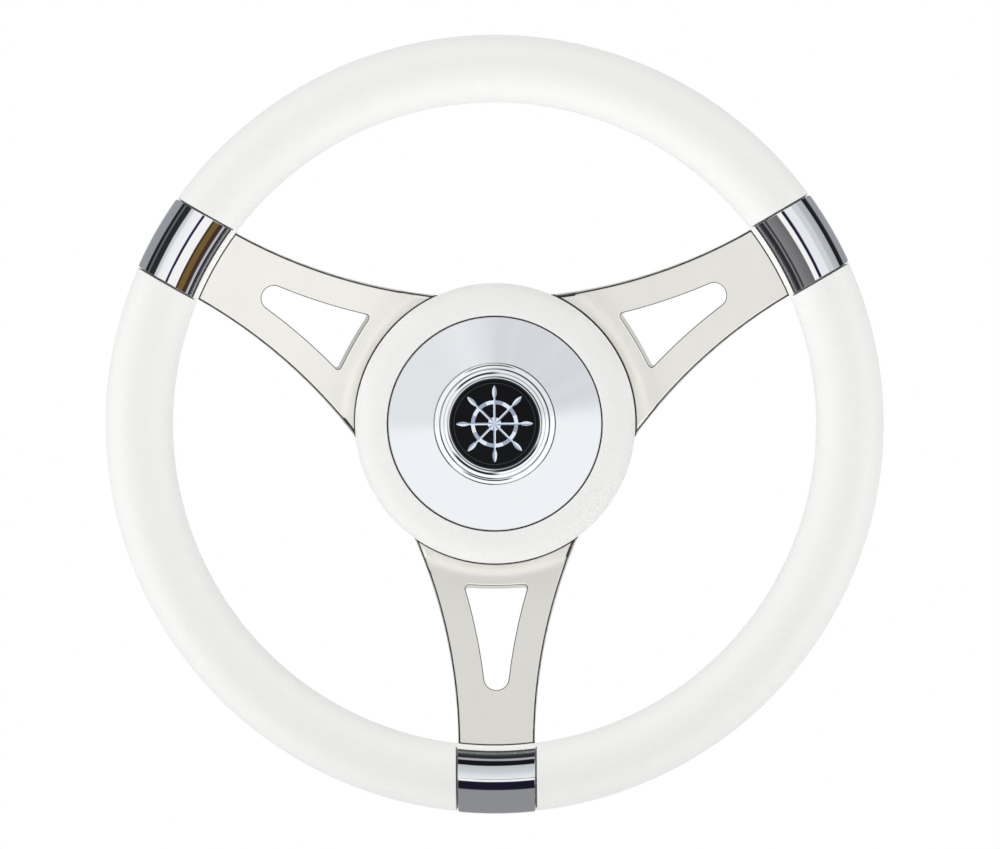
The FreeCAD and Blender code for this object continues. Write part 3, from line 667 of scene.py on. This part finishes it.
def finished(name, mesh, slot, *replaced, fill=None):
    """Puts a finished mesh in the scene, riding on the wheel and standing for its CAD nodes."""
    mesh.name = name
    piece = new_object(name, mesh)
    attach(piece, "root")
    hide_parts(*replaced)


def made_by(tree, values, start=None):
    """The plain mesh that a geometry node tree makes with these inputs."""
    holder = new_object("Maker", start or bpy.data.meshes.new("Start"))
    modifier = holder.modifiers.new("Shape", "NODES")
    modifier.node_group = tree
    for item in tree.interface.items_tree:
        if item.item_type == "SOCKET" and item.in_out == "INPUT" and item.name in values:
            modifier[item.identifier] = values[item.name]
    mesh = evaluated(holder)
    if not mesh.polygons:
        raise RuntimeError(f"the tree {tree.name} made no faces")
    return mesh


def evaluated(holder):
    """The plain mesh of an object with its modifiers. The object is removed."""
    graph = bpy.context.evaluated_depsgraph_get()
    mesh = bpy.data.meshes.new_from_object(holder.evaluated_get(graph), depsgraph=graph)
    bpy.data.objects.remove(holder)
    return mesh


def shape_of(mesh):
    shape = bmesh.new()
    shape.from_mesh(mesh)
    return shape


def written(shape, mesh):
    """The mesh, with a finished shape written into it."""
    shape.to_mesh(mesh)
    shape.free()
    return mesh


def outward(mesh):
    """Merges a closed mesh's doubles and points its faces outwards."""
    shape = shape_of(mesh)
    bmesh.ops.remove_doubles(shape, verts=shape.verts, dist=1e-7)
    bmesh.ops.dissolve_degenerate(shape, edges=shape.edges, dist=1e-8)
    bmesh.ops.recalc_face_normals(shape, faces=shape.faces)
    return written(shape, mesh)


def grip_tree(sizes):
    """Round ring with a recess under each clip and a fine mould line at its inner and outer sides."""
    group = Group("Grip ring", {**sizes, "Material": "NodeSocketMaterial"}, "GeometryNodeTree")
    (ring, grip, ring_y, seat_width, seat_depth, seat_mouth, seat_end, flash_height,
     slices, sides, material) = group.given
    grid = group.term(
        "GeometryNodeMeshGrid", {"Vertices X": slices * ARM_COUNT + 1.0, "Vertices Y": sides + 1.0})
    u, v, _ = group.split(group.term("GeometryNodeInputPosition"))
    sector = (u + 0.5) * ARM_COUNT
    arm = (sector + 1e-5).of("FLOOR")
    side = (sector - arm) * 2.0 - 1.0
    off = abs(side)
    # The slices stand close together where a recess begins and wide apart between the arms.
    seat_angle = seat_width * 0.5 / ring
    under = off.span(0, 0.12) * (seat_angle - 0.008)
    mouth = off.span(0.12, 0.5, 0, 0.022)
    rest = ARM_STEP / 2 - (seat_angle + 0.014)
    turn = under + mouth + off.span(0.5, 1) * rest
    around = (v + 0.5) * math.tau
    across = ring * turn.of("SINE")
    # Depth of the recess, with its rounded mouth, by the distance from the arm's middle.
    past = across - seat_width * 0.5
    share_of_mouth = 1.0 - (past / seat_mouth).span(0, 1)
    arc = (1.0 - share_of_mouth * share_of_mouth).of("SQRT")
    inside = past.of("LESS_THAN", 0.0)
    depth = inside * seat_depth + (1.0 - inside) * (seat_mouth * (1.0 - arc))
    clear = abs(around - math.pi).span(seat_end, seat_end + 0.03)
    flash = abs(around.of("SINE")).span(0, 0.03, 1, 0)
    tube = grip - (depth * clear + (1.0 - flash) * flash_height)
    reach = ring + tube * around.of("COSINE")
    # Near an arm the slices run parallel to it, and between the arms they point at the axis.
    parallel = (across / reach).of("ARCSINE") - turn
    swing = turn + turn.ease(0.14, 0.55, 1, 0) * parallel
    heading = arm * ARM_STEP + FIRST_ARM + swing * side.of("SIGN")
    place = group.joined(
        reach * heading.of("COSINE"), ring_y - tube * around.of("SINE"), reach * heading.of("SINE"))
    shaped = group.term("GeometryNodeSetPosition", {"Geometry": grid, "Position": place})
    closed = group.term("GeometryNodeMergeByDistance", {"Geometry": shaped, "Distance": 1e-6})
    return group.solid(group.term("GeometryNodeSetShadeSmooth", {"Geometry": closed}), material)


def screw_tree(sizes):
    """Puts one screw in each of a clip's two holes, for every arm, each turned as it was driven."""
    group = Group("Clip screws", {
        "Geometry": "NodeSocketGeometry", **sizes, "Seed": 4, "Material": "NodeSocketMaterial",
    }, "GeometryNodeTree")
    screw, ring, offset, spacing, seed, material = group.given
    points = group.term("GeometryNodeMeshLine", {"Count": 2 * ARM_COUNT})
    index = group.term("GeometryNodeInputIndex")
    heading = (index * 0.5).of("FLOOR") * ARM_STEP + FIRST_ARM
    along = ring + offset
    aside = (index.of("MODULO", 2.0) * 2.0 - 1.0) * spacing * 0.5
    right, up = heading.of("COSINE"), heading.of("SINE")
    place = group.joined(along * right - aside * up, SCREW_HIGH.y, along * up + aside * right)
    placed = group.term("GeometryNodeSetPosition", {"Geometry": points, "Position": place})
    driven = group.term(
        "FunctionNodeRandomValue", {"Min": 0.0, "Max": math.pi / 2, "Seed": seed}, 1, data_type="FLOAT")
    screws = group.term("GeometryNodeInstanceOnPoints", {
        "Points": placed, "Instance": screw, "Rotation": group.joined(0.0, driven, 0.0),
    })
    return group.solid(screws, material)


def skin(rows, closed):
    """Shape through rows of points, each joined to the next and the last to the first."""
    shape = bmesh.new()
    rows = [[shape.verts.new(point) for point in row] for row in rows]
    for here, ahead in zip(rows, rows[1:] + rows[:1]):
        for point in range(len(here) if closed else len(here) - 1):
            following = (point + 1) % len(here)
            shape.faces.new((here[point], here[following], ahead[following], ahead[point]))
    return shape


def round_axis(radius, along, turn):
    """A point at a radius from Y and a place along it."""
    return radius * math.cos(turn), along, radius * math.sin(turn)


def lathe(profile, segments):
    """Closed shape of revolution about Y, from (radius, place along Y) points."""
    turns = [math.tau * step / segments for step in range(segments)]
    return skin([[round_axis(radius, along, turn) for radius, along in profile] for turn in turns], False)


# Rounded top of a screw's head: share of its radius, and depth below the top in mm.
SCREW_CROWN = ((0.35, 0.0), (0.6, 0.02), (0.8, 0.07), (0.92, 0.16), (0.985, 0.32), (1.0, 0.5))
SCREW_HEAD, SCREW_CORE, THREAD_DEPTH, THREAD_TURNS = 1.6 * MM, 1.25 * MM, 0.15 * MM, 10


def screw_mesh(head_radius, length_under_head):
    """Cap screw along Y, with the outer face of its head at 0 facing +Y."""
    profile = [(0.0, -0.02 * MM)] + [(head_radius * part, -drop * MM) for part, drop in SCREW_CROWN]
    profile += [(head_radius, -1.45 * MM), (head_radius - 0.1 * MM, -SCREW_HEAD), (SCREW_CORE, -SCREW_HEAD)]
    root = SCREW_CORE - THREAD_DEPTH
    pitch = (length_under_head - 4 * MM) / THREAD_TURNS
    for turn in range(THREAD_TURNS):
        start = -2.4 * MM - turn * pitch
        profile += [(root, start), (SCREW_CORE, start - pitch * 0.45), (root, start - pitch * 0.9)]
    profile += [(0.25 * MM, -1.55 * MM - length_under_head), (0.0, -SCREW_HEAD - length_under_head)]
    return outward(written(lathe(profile, 28), bpy.data.meshes.new("Screw")))


def cross_mesh(reach, width, depth):
    """Tapered cross that is taken out of a screw's head."""
    shape = bmesh.new()
    for along, across in ((reach, width), (width, reach)):
        for point in bmesh.ops.create_cube(shape, size=1.0)["verts"]:
            taper, place = (0.72, -depth) if point.co.y < 0 else (1.0, depth * 0.3)
            point.co = (point.co.x * along * taper, place, point.co.z * across * taper)
    return written(shape, bpy.data.meshes.new("Cross"))


def cut_away(mesh, cutter):
    """mesh less cutter, both at the origin."""
    body, tool = new_object("Body", mesh), new_object("Tool", cutter)
    modifier = body.modifiers.new("Cut", "BOOLEAN")
    modifier.object = tool
    modifier.use_self = True
    left = evaluated(body)
    bpy.data.objects.remove(tool)
    return left


def run(first, last, steps):
    """Points spread evenly from the first to the last, which is left out."""
    return [
        (first[0] + (last[0] - first[0]) * step / steps, first[1] + (last[1] - first[1]) * step / steps)
        for step in range(steps)
    ]


def bend(centre, radius, begin, end, steps):
    """Points on an arc from one angle to another, in degrees."""
    turns = [math.radians(begin + (end - begin) * step / steps) for step in range(steps + 1)]
    return [(centre[0] + radius * math.cos(turn), centre[1] + radius * math.sin(turn)) for turn in turns]


def pad_profile(pad):
    """Section of the pad as (radius, height above the boss's rear face), closed, from the bore's foot."""
    foot = -PAD_HIGH.y
    crown = -PAD_LOW.y - 0.02 * MM
    skirt = crown - pad.round_radius
    lip_foot = crown - pad.lip_depth
    heel = (pad.outer_radius - pad.skirt_draft - pad.foot_round, foot + pad.foot_round)
    points = run((pad.inner_radius, foot), (heel[0], foot), 8)
    points += bend(heel, pad.foot_round, -90, -10, 8)
    points += run(points[-1], (pad.outer_radius, skirt), 12)[1:]
    points += bend((pad.outer_radius - pad.round_radius, skirt), pad.round_radius, 0, 90, 36)
    points += bend((pad.lip_radius + pad.lip_round, crown - pad.lip_round), pad.lip_round, 90, 180, 7)[1:]
    return points + [(pad.lip_radius, lip_foot), (pad.inner_radius, lip_foot - 0.3 * MM)]


ARM_EDGE_RADIUS = 263 * MM
ARM_END_REACH = 17.2 * MM
BEND_LINE = 45 * MM
DISH = math.radians(20.0)

# How the pad's sections lie in half a gap: share of the sections, and degrees from the arm's middle.
PAD_SPREAD = ((0.0, 0.0), (0.4, 29.0), (0.75, 33.5), (1.0, 60.0))


def arm_reach(along, spread):
    """Half an arm's width, moved out by spread, at a distance along it from the axis."""
    slant = (GRIP_FOOT - along) / math.cos(DISH)
    return ARM_END_REACH + ARM_EDGE_RADIUS - math.sqrt((ARM_EDGE_RADIUS - spread) ** 2 - slant ** 2)


def over_arm(radius, height, turn, gap):
    """The height, or that of the gap over the arm where a point would lie below it."""
    along, aside = radius * math.cos(turn), abs(radius * math.sin(turn))
    if along < BEND_LINE or aside > arm_reach(along, gap):
        return height
    return max(height, PLATE_FRONT + (along - BEND_LINE) * math.tan(DISH) + gap / math.cos(DISH))


def pad_turn(step, half):
    """Angle from the arm's middle to one of the pad's sections, of which half lie to each side."""
    part = abs(step) / half
    for (begin, low), (end, high) in zip(PAD_SPREAD, PAD_SPREAD[1:]):
        if part <= end:
            off = low + (high - low) * (part - begin) / (end - begin)
            return math.radians(math.copysign(off, step))


def pad_mesh(pad):
    """The pad, with a hollow under its edge where each arm comes out."""
    profile = pad_profile(pad)
    half = pad.slices // 2
    rows = []
    for arm in range(ARM_COUNT):
        for turn in (pad_turn(step, half) for step in range(-half, half)):
            heading = FIRST_ARM + arm * ARM_STEP + turn
            rows.append([
                round_axis(radius, -over_arm(radius, height, turn, pad.arm_gap), heading)
                for radius, height in profile
            ])
    return outward(written(skin(rows, True), bpy.data.meshes.new("Pad")))


def crease_sharp(mesh, degrees):
    """Smooth faces, but sharp edges where two of them meet at more than an angle."""
    shape = shape_of(mesh)
    for face in shape.faces:
        face.smooth = True
    for edge in shape.edges:
        if len(edge.link_faces) == 2 and edge.calc_face_angle(0.0) > math.radians(degrees):
            edge.smooth = False
    return written(shape, mesh)


# Stage

def stage_object(name, shape, material):
    mesh = written(shape, bpy.data.meshes.new(name))
    mesh.materials.append(material)
    thing = new_object(name, mesh)
    return thing


def floor_material(floor_radius):
    """Pale floor that fades out at its edge."""
    finish = Finish("Pale floor", Roughness=0.9, Base_Color=(0.88, 0.88, 0.88, 1.0))
    x, y, _ = finish.split(finish.place())
    radius = (x * x + y * y).of("SQRT")
    return finish.done(Alpha=radius.ease(floor_radius * 0.45, floor_radius * 0.98, 1, 0))


UP, UP_RIGHT, DOWN_RIGHT, DOWN, DOWN_LEFT, UP_LEFT = 90, 30, 330, 270, 210, 150
CLOTH = (1.02, 1.02, 1.02)
SHADED_CLOTH = (0.90, 0.92, 0.945)
COOL_CLOTH = (0.68, 0.715, 0.745)
THIN_CLOTH = (0.53, 0.555, 0.575)
EDGE_LIGHT = (0.45, 0.47, 0.51)
GREY_WALL = (0.295, 0.298, 0.315)
FAR_WALL = (0.335, 0.35, 0.38)
SLATE = (0.25, 0.25, 0.258)
DEEP_SLATE = (0.155, 0.155, 0.158)
DUSK = (0.11, 0.112, 0.116)
FLAG = (0.03, 0.031, 0.038)
BLACK_FLAG = (0.010, 0.010, 0.012)
NAVY_FLAG = (0.012, 0.011, 0.026)
NAVY_CORD = (0.028, 0.02, 0.08)
BROWN_TABLE = (0.185, 0.118, 0.036)
TABLE_EDGE = (0.085, 0.035, 0.016)
BACK_WALL = (0.5, 0.51, 0.53)

# What hangs in the light tent on each side: the angles from the wheel's axis between which it is
# seen, how soft its edges are, all in degrees, and its shade, or its shades near and far from the axis.
PANELS = {
    UP: (
        (3, 26, 4, SHADED_CLOTH, COOL_CLOTH), (22, 51, 3, COOL_CLOTH, THIN_CLOTH), (47, 130, 3, BLACK_FLAG),
        (66, 74, 4, EDGE_LIGHT), (74, 88, 3, FLAG), (89, 96, 4, DEEP_SLATE),
    ),
    DOWN: ((7, 38, 2, NAVY_FLAG), (35, 180, 3, GREY_WALL)),
    UP_RIGHT: (
        (2, 13, 3, NAVY_FLAG, NAVY_CORD), (14, 47, 8, SHADED_CLOTH), (41, 67, 5, COOL_CLOTH),
        (62, 93, 5, THIN_CLOTH, EDGE_LIGHT), (88, 118, 4, BLACK_FLAG, FLAG), (112, 160, 6, FAR_WALL),
    ),
    DOWN_LEFT: (
        (14, 60, 3, DEEP_SLATE, SLATE), (57, 69, 3, FLAG, DUSK), (66, 74, 3, SLATE), (71, 91, 3, FLAG),
        (88, 130, 3, DUSK),
    ),
    UP_LEFT: (
        (0, 11, 2.5, NAVY_CORD), (11, 47, 6, CLOTH, SHADED_CLOTH), (42, 59, 5, COOL_CLOTH),
        (54, 102, 4, FLAG, BLACK_FLAG), (76, 84, 6, DEEP_SLATE), (97, 160, 7, FAR_WALL),
    ),
    DOWN_RIGHT: (
        (29, 39, 3, FLAG, TABLE_EDGE), (36, 59, 3, BROWN_TABLE), (55, 73, 4, TABLE_EDGE, FLAG),
        (71, 83, 4, EDGE_LIGHT, COOL_CLOTH), (80, 130, 3, FLAG),
    ),
}

# The middle of what the grip's and the arms' faces show of the tent, and the disc's three shades.
AIM = tuple(Vector((0.17, -1.0, 0.17)).normalized())
DISC_WHITE, DISC_GREY, DISC_PALE = (1.15, 1.185, 1.22), (0.885, 0.915, 0.953), (1.0, 1.035, 1.064)


def tent_material():
    """Light tent: cloth and dark panels in polished metal, even soft light in satin surfaces."""
    material = bpy.data.materials.new("Light tent")
    maker = Maker(cleared(material))
    place = maker.vector("NORMALIZE", maker.place())
    x, y, z = maker.split(place)
    flat = (x * x + z * z).of("SQRT").of("MAXIMUM", 1e-5)
    away = (y * -1.0).of("ARCCOSINE") * DEGREES
    hung = away + (maker.noise(place, 16, 3.0) - 0.5) * 3.0
    seen = CLOTH
    for side, panels in PANELS.items():
        facing = (towards(x, z, side) / flat).ease(cosine(42), cosine(18))
        for near, far, soft, *shades in panels:
            begins = hung.ease(near - soft / 2, near + soft / 2)
            ends = hung.ease(far - soft / 2, far + soft / 2, 1, 0)
            shade = maker.mix(hung.span(near, far), *shades) if len(shades) > 1 else shades[0]
            seen = maker.mix(facing * begins * ends, seen, shade)
    seen = maker.mix(away.ease(150, 165), seen, BACK_WALL)
    # Satin and soft surfaces meet an even light that grows to the right and downwards. It is a
    # little stronger round the aim, over twice as strong beside the wheel, and weaker behind it.
    slope = x * 0.11 + z * -0.147 + 0.784
    from_aim = maker.vector("DOT_PRODUCT", place, AIM, output=1)
    front = from_aim.ease(cosine(34), cosine(20), 1, 1.06)
    beside = away.ease(50, 60) * away.ease(84, 98, 1, 0)
    dim = away.ease(96, 120, 1, 0.8)
    slope = slope * front * (beside * 1.3 + 1.0) * dim
    even = maker.joined(slope, slope, slope * 0.985)
    # What the disc shows: a cool grey sector high on the right with faint folds, a pale one on the
    # left, and white below.
    heading = z.of("ARCTAN2", x) * DEGREES
    grey = heading.ease(-6, 15) * heading.ease(84, 132, 1, 0)
    pale = heading.ease(96, 140).of("MAXIMUM", heading.ease(-179, -166, 1, 0))
    ahead = maker.mix(pale, maker.mix(grey, DISC_WHITE, DISC_GREY), DISC_PALE)
    fold = maker.noise(maker.joined(heading * 0.07, 0, 0), 1).span(0.35, 0.65, 0.965, 1.025)
    ahead = maker.mix(grey, ahead, maker.vector("MULTIPLY", ahead, maker.joined(fold, fold, fold)))
    soft_light = maker.mix(away.ease(24, 32, 1, 0), even, ahead)
    sharp = maker.term("ShaderNodeLightPath", output="Is Singular Ray")
    glow = maker.term("ShaderNodeEmission", {"Color": maker.mix(sharp, soft_light, seen)})
    maker.node("ShaderNodeOutputMaterial", {"Surface": glow})
    material.cycles.emission_sampling = "NONE"
    arrange(maker.tree)
    return material


def light_world(stage):
    """Soft light on surfaces, weak in front and strong at the sides, and white where rays look past."""
    world = bpy.data.worlds.new("White studio")
    bpy.context.scene.world = world
    maker = Maker(cleared(world))
    x, y, z = maker.split(maker.term("ShaderNodeTexCoord", output="Generated"))
    away = (y * -1.0).of("ARCCOSINE") * DEGREES
    from_aim = maker.vector("DOT_PRODUCT", maker.joined(x, y, z), AIM, output=1)
    front = from_aim.ease(cosine(46), cosine(24), stage.side_light, stage.front_light)
    rear = away.ease(94, 112, 1, stage.rear_light / stage.side_light)
    level = front * rear * (z * -0.07 + 1.0) * (x * x * -0.1 + 1.0)
    level = level + away.ease(138, 158, 0, stage.back_lamp)
    path = maker.terms("ShaderNodeLightPath")
    white = path["Is Camera Ray"].of("MAXIMUM", path["Is Glossy Ray"])
    white = white.of("MAXIMUM", path["Is Transmission Ray"])
    strength = white + (1.0 - white) * level
    shade = maker.term("ShaderNodeBackground", {"Color": (1.0, 1.0, 1.0, 1.0), "Strength": strength})
    maker.node("ShaderNodeOutputWorld", {"Surface": shade})
    arrange(maker.tree)


def place_camera(stage):
    data = bpy.data.cameras.new("Camera")
    data.lens = stage.lens
    data.clip_start, data.clip_end = 0.01, 100.0
    camera = new_object("Camera", data)
    turned = Matrix.Rotation(stage.swing, 4, "Z") @ Matrix.Rotation(-stage.rise, 4, "X")
    turned = turned @ Matrix.Rotation(stage.roll, 4, "Y") @ Matrix.Rotation(math.radians(90), 4, "X")
    camera.location = Vector((0.0, RING_Y, 0.0)) + turned @ Vector((stage.aside, stage.above, stage.distance))
    camera.rotation_euler = turned.to_euler()
    bpy.context.scene.camera = camera


# Operators

def moulding_finish(context):
    """The white moulding's material, which the rim and the pad share."""
    found = bpy.data.materials.get("Soft white moulding")
    return found or soft_moulding(context.scene.wheel_colours.moulding)


class WHEEL_OT_grip(bpy.types.Operator):
    """Make the rim's soft moulding, with its seats for the clips"""

    bl_idname = "wheel.grip"
    bl_label = "Grip moulding"

    def execute(self, context):
        sizes = sizes_of(
            context.scene.wheel_rim, "ring_radius", "grip_radius", "ring_y", "seat_width", "seat_depth",
            "seat_mouth", "seat_end", "flash_height", "slices", "sides")
        mesh = outward(made_by(grip_tree(sizes), {**sizes, "Material": moulding_finish(context)}))
        finished("grip_moulding", mesh, "white_moulding", "rim_grip", fill=1.0)
        return {"FINISHED"}


class WHEEL_OT_pad(bpy.types.Operator):
    """Make the soft pad round the hub"""

    bl_idname = "wheel.pad"
    bl_label = "Hub pad"

    def execute(self, context):
        mesh = crease_sharp(pad_mesh(context.scene.wheel_pad), 40.0)
        mesh.materials.append(moulding_finish(context))
        finished("pad_moulding", mesh, "white_moulding", "hub_pad", fill=1.0)
        return {"FINISHED"}


class WHEEL_OT_clip_screws(bpy.types.Operator):
    """Put two screws in the back of each clip"""

    bl_idname = "wheel.clip_screws"
    bl_label = "Clip screws"

    def execute(self, context):
        rim = context.scene.wheel_rim
        finish = turned_metal("Stainless screws", context.scene.wheel_colours.screw, 0.5 * MM, 0.22, 0.34)
        under_head = SCREW_HIGH.y - SCREW_LOW.y - SCREW_HEAD
        cross = cross_mesh(reach=2.5 * MM, width=0.9 * MM, depth=0.9 * MM)
        one = cut_away(screw_mesh(rim.screw_head_radius, under_head), cross)
        sizes = sizes_of(rim, "ring_radius", "screw_offset", "screw_spacing")
        mesh = crease_sharp(made_by(screw_tree(sizes), {**sizes, "Seed": 4, "Material": finish}, one), 35.0)
        finished("clip_screw_set", mesh, "screw_steel", "clip_screws")
        dress(finish, "hub_screws")
        return {"FINISHED"}


class WHEEL_OT_metal(bpy.types.Operator):
    """Finish the arms, the clips and the rim's core"""

    bl_idname = "wheel.metal"
    bl_label = "Arms, clips and core"

    def execute(self, context):
        colours = context.scene.wheel_colours
        shells = [name for name in NODES if name.startswith("clip_") and name != "clip_screws"]
        dress(satin_steel(colours.plate, colours.edge_shade), "spider_plate")
        dress(turned_metal("Core tube", colours.screw, 1.5 * MM, 0.35, 0.5), "rim_core")
        dress(chrome(colours.chrome), *shells)
        return {"FINISHED"}


class WHEEL_OT_face(bpy.types.Operator):
    """Finish the face disc, the cap and the badge"""

    bl_idname = "wheel.face"
    bl_label = "Disc, cap and badge"

    def execute(self, context):
        colours = context.scene.wheel_colours
        dress(spun_steel(colours.disc), "face_disc")
        dress(cap_chrome(colours.chrome), "cap_bezel")
        dress(black_dome(colours.badge), "badge_plate")
        dress(motif_inlay(colours.motif_light, colours.motif_shade), "badge_emblem")
        return {"FINISHED"}


class WHEEL_OT_hub(bpy.types.Operator):
    """Finish the boss, the rear cover, the carrier and the rubber pieces"""

    bl_idname = "wheel.hub"
    bl_label = "Boss, cover and carrier"

    def execute(self, context):
        colours = context.scene.wheel_colours
        dress(turned_metal("Turned aluminium", colours.aluminium, 0.6 * MM, 0.28, 0.42), "hub_boss")
        dress(textured_plastic("Cover plastic", colours.plastic, 1400.0), "rear_cover")
        dress(textured_plastic("Carrier plastic", colours.plastic, 1100.0), "pad_carrier")
        dress(textured_plastic("Black rubber", colours.rubber, 2200.0), "stud_grommets", "cap_o_ring")
        return {"FINISHED"}


class WHEEL_OT_stage(bpy.types.Operator):
    """Set the floor, the light and the camera"""

    bl_idname = "wheel.stage"
    bl_label = "Stage and camera"

    def execute(self, context):
        stage = context.scene.wheel_stage
        disc = bmesh.new()
        bmesh.ops.create_circle(disc, cap_ends=True, segments=96, radius=stage.floor_radius)
        for point in disc.verts:
            point.co.z = CAD_BOX[0].z - stage.floor_drop
        floor = stage_object("Floor", disc, floor_material(stage.floor_radius))
        floor.visible_glossy = False
        ball = bmesh.new()
        bmesh.ops.create_uvsphere(ball, u_segments=64, v_segments=32, radius=stage.tent_radius)
        tent = stage_object("Light tent", ball, tent_material())
        tent.visible_camera = tent.visible_diffuse = tent.visible_transmission = False
        tent.visible_volume_scatter = tent.visible_shadow = False
        light_world(stage)
        place_camera(stage)
        context.scene.view_settings.view_transform = "Standard"
        return {"FINISHED"}


OPERATORS = (
    WHEEL_OT_grip, WHEEL_OT_pad, WHEEL_OT_clip_screws, WHEEL_OT_metal, WHEEL_OT_face, WHEEL_OT_hub,
    WHEEL_OT_stage,
)
SETTINGS = {
    "wheel_rim": WheelRim, "wheel_pad": WheelPad, "wheel_colours": WheelColours, "wheel_stage": WheelStage,
}


class WHEEL_PT_panel(bpy.types.Panel):
    """Lists what makes the wheel, and the sizes and colours that it is made with."""

    bl_idname = "WHEEL_PT_panel"
    bl_label = "Boat Steering Wheel"
    bl_space_type = "VIEW_3D"
    bl_region_type = "UI"
    bl_category = "Wheel"

    def draw(self, context):
        for operator in OPERATORS:
            self.layout.operator(operator.bl_idname)
        for name, group in SETTINGS.items():
            box = self.layout.box()
            box.label(text=group.__doc__)
            for label in group.__annotations__:
                box.prop(getattr(context.scene, name), label)


def register():
    for name, group in SETTINGS.items():
        bpy.utils.register_class(group)
        setattr(bpy.types.Scene, name, bpy.props.PointerProperty(type=group))
    for made in (*OPERATORS, WHEEL_PT_panel):
        bpy.utils.register_class(made)


def unregister():
    for made in (WHEEL_PT_panel, *reversed(OPERATORS)):
        bpy.utils.unregister_class(made)
    for name, group in SETTINGS.items():
        delattr(bpy.types.Scene, name)
        bpy.utils.unregister_class(group)


def main():
    register()
    bpy.ops.wheel.grip()
    bpy.ops.wheel.pad()
    bpy.ops.wheel.clip_screws()
    bpy.ops.wheel.metal()
    bpy.ops.wheel.face()
    bpy.ops.wheel.hub()
    bpy.ops.wheel.stage()


if __name__ == "__main__":
    main()
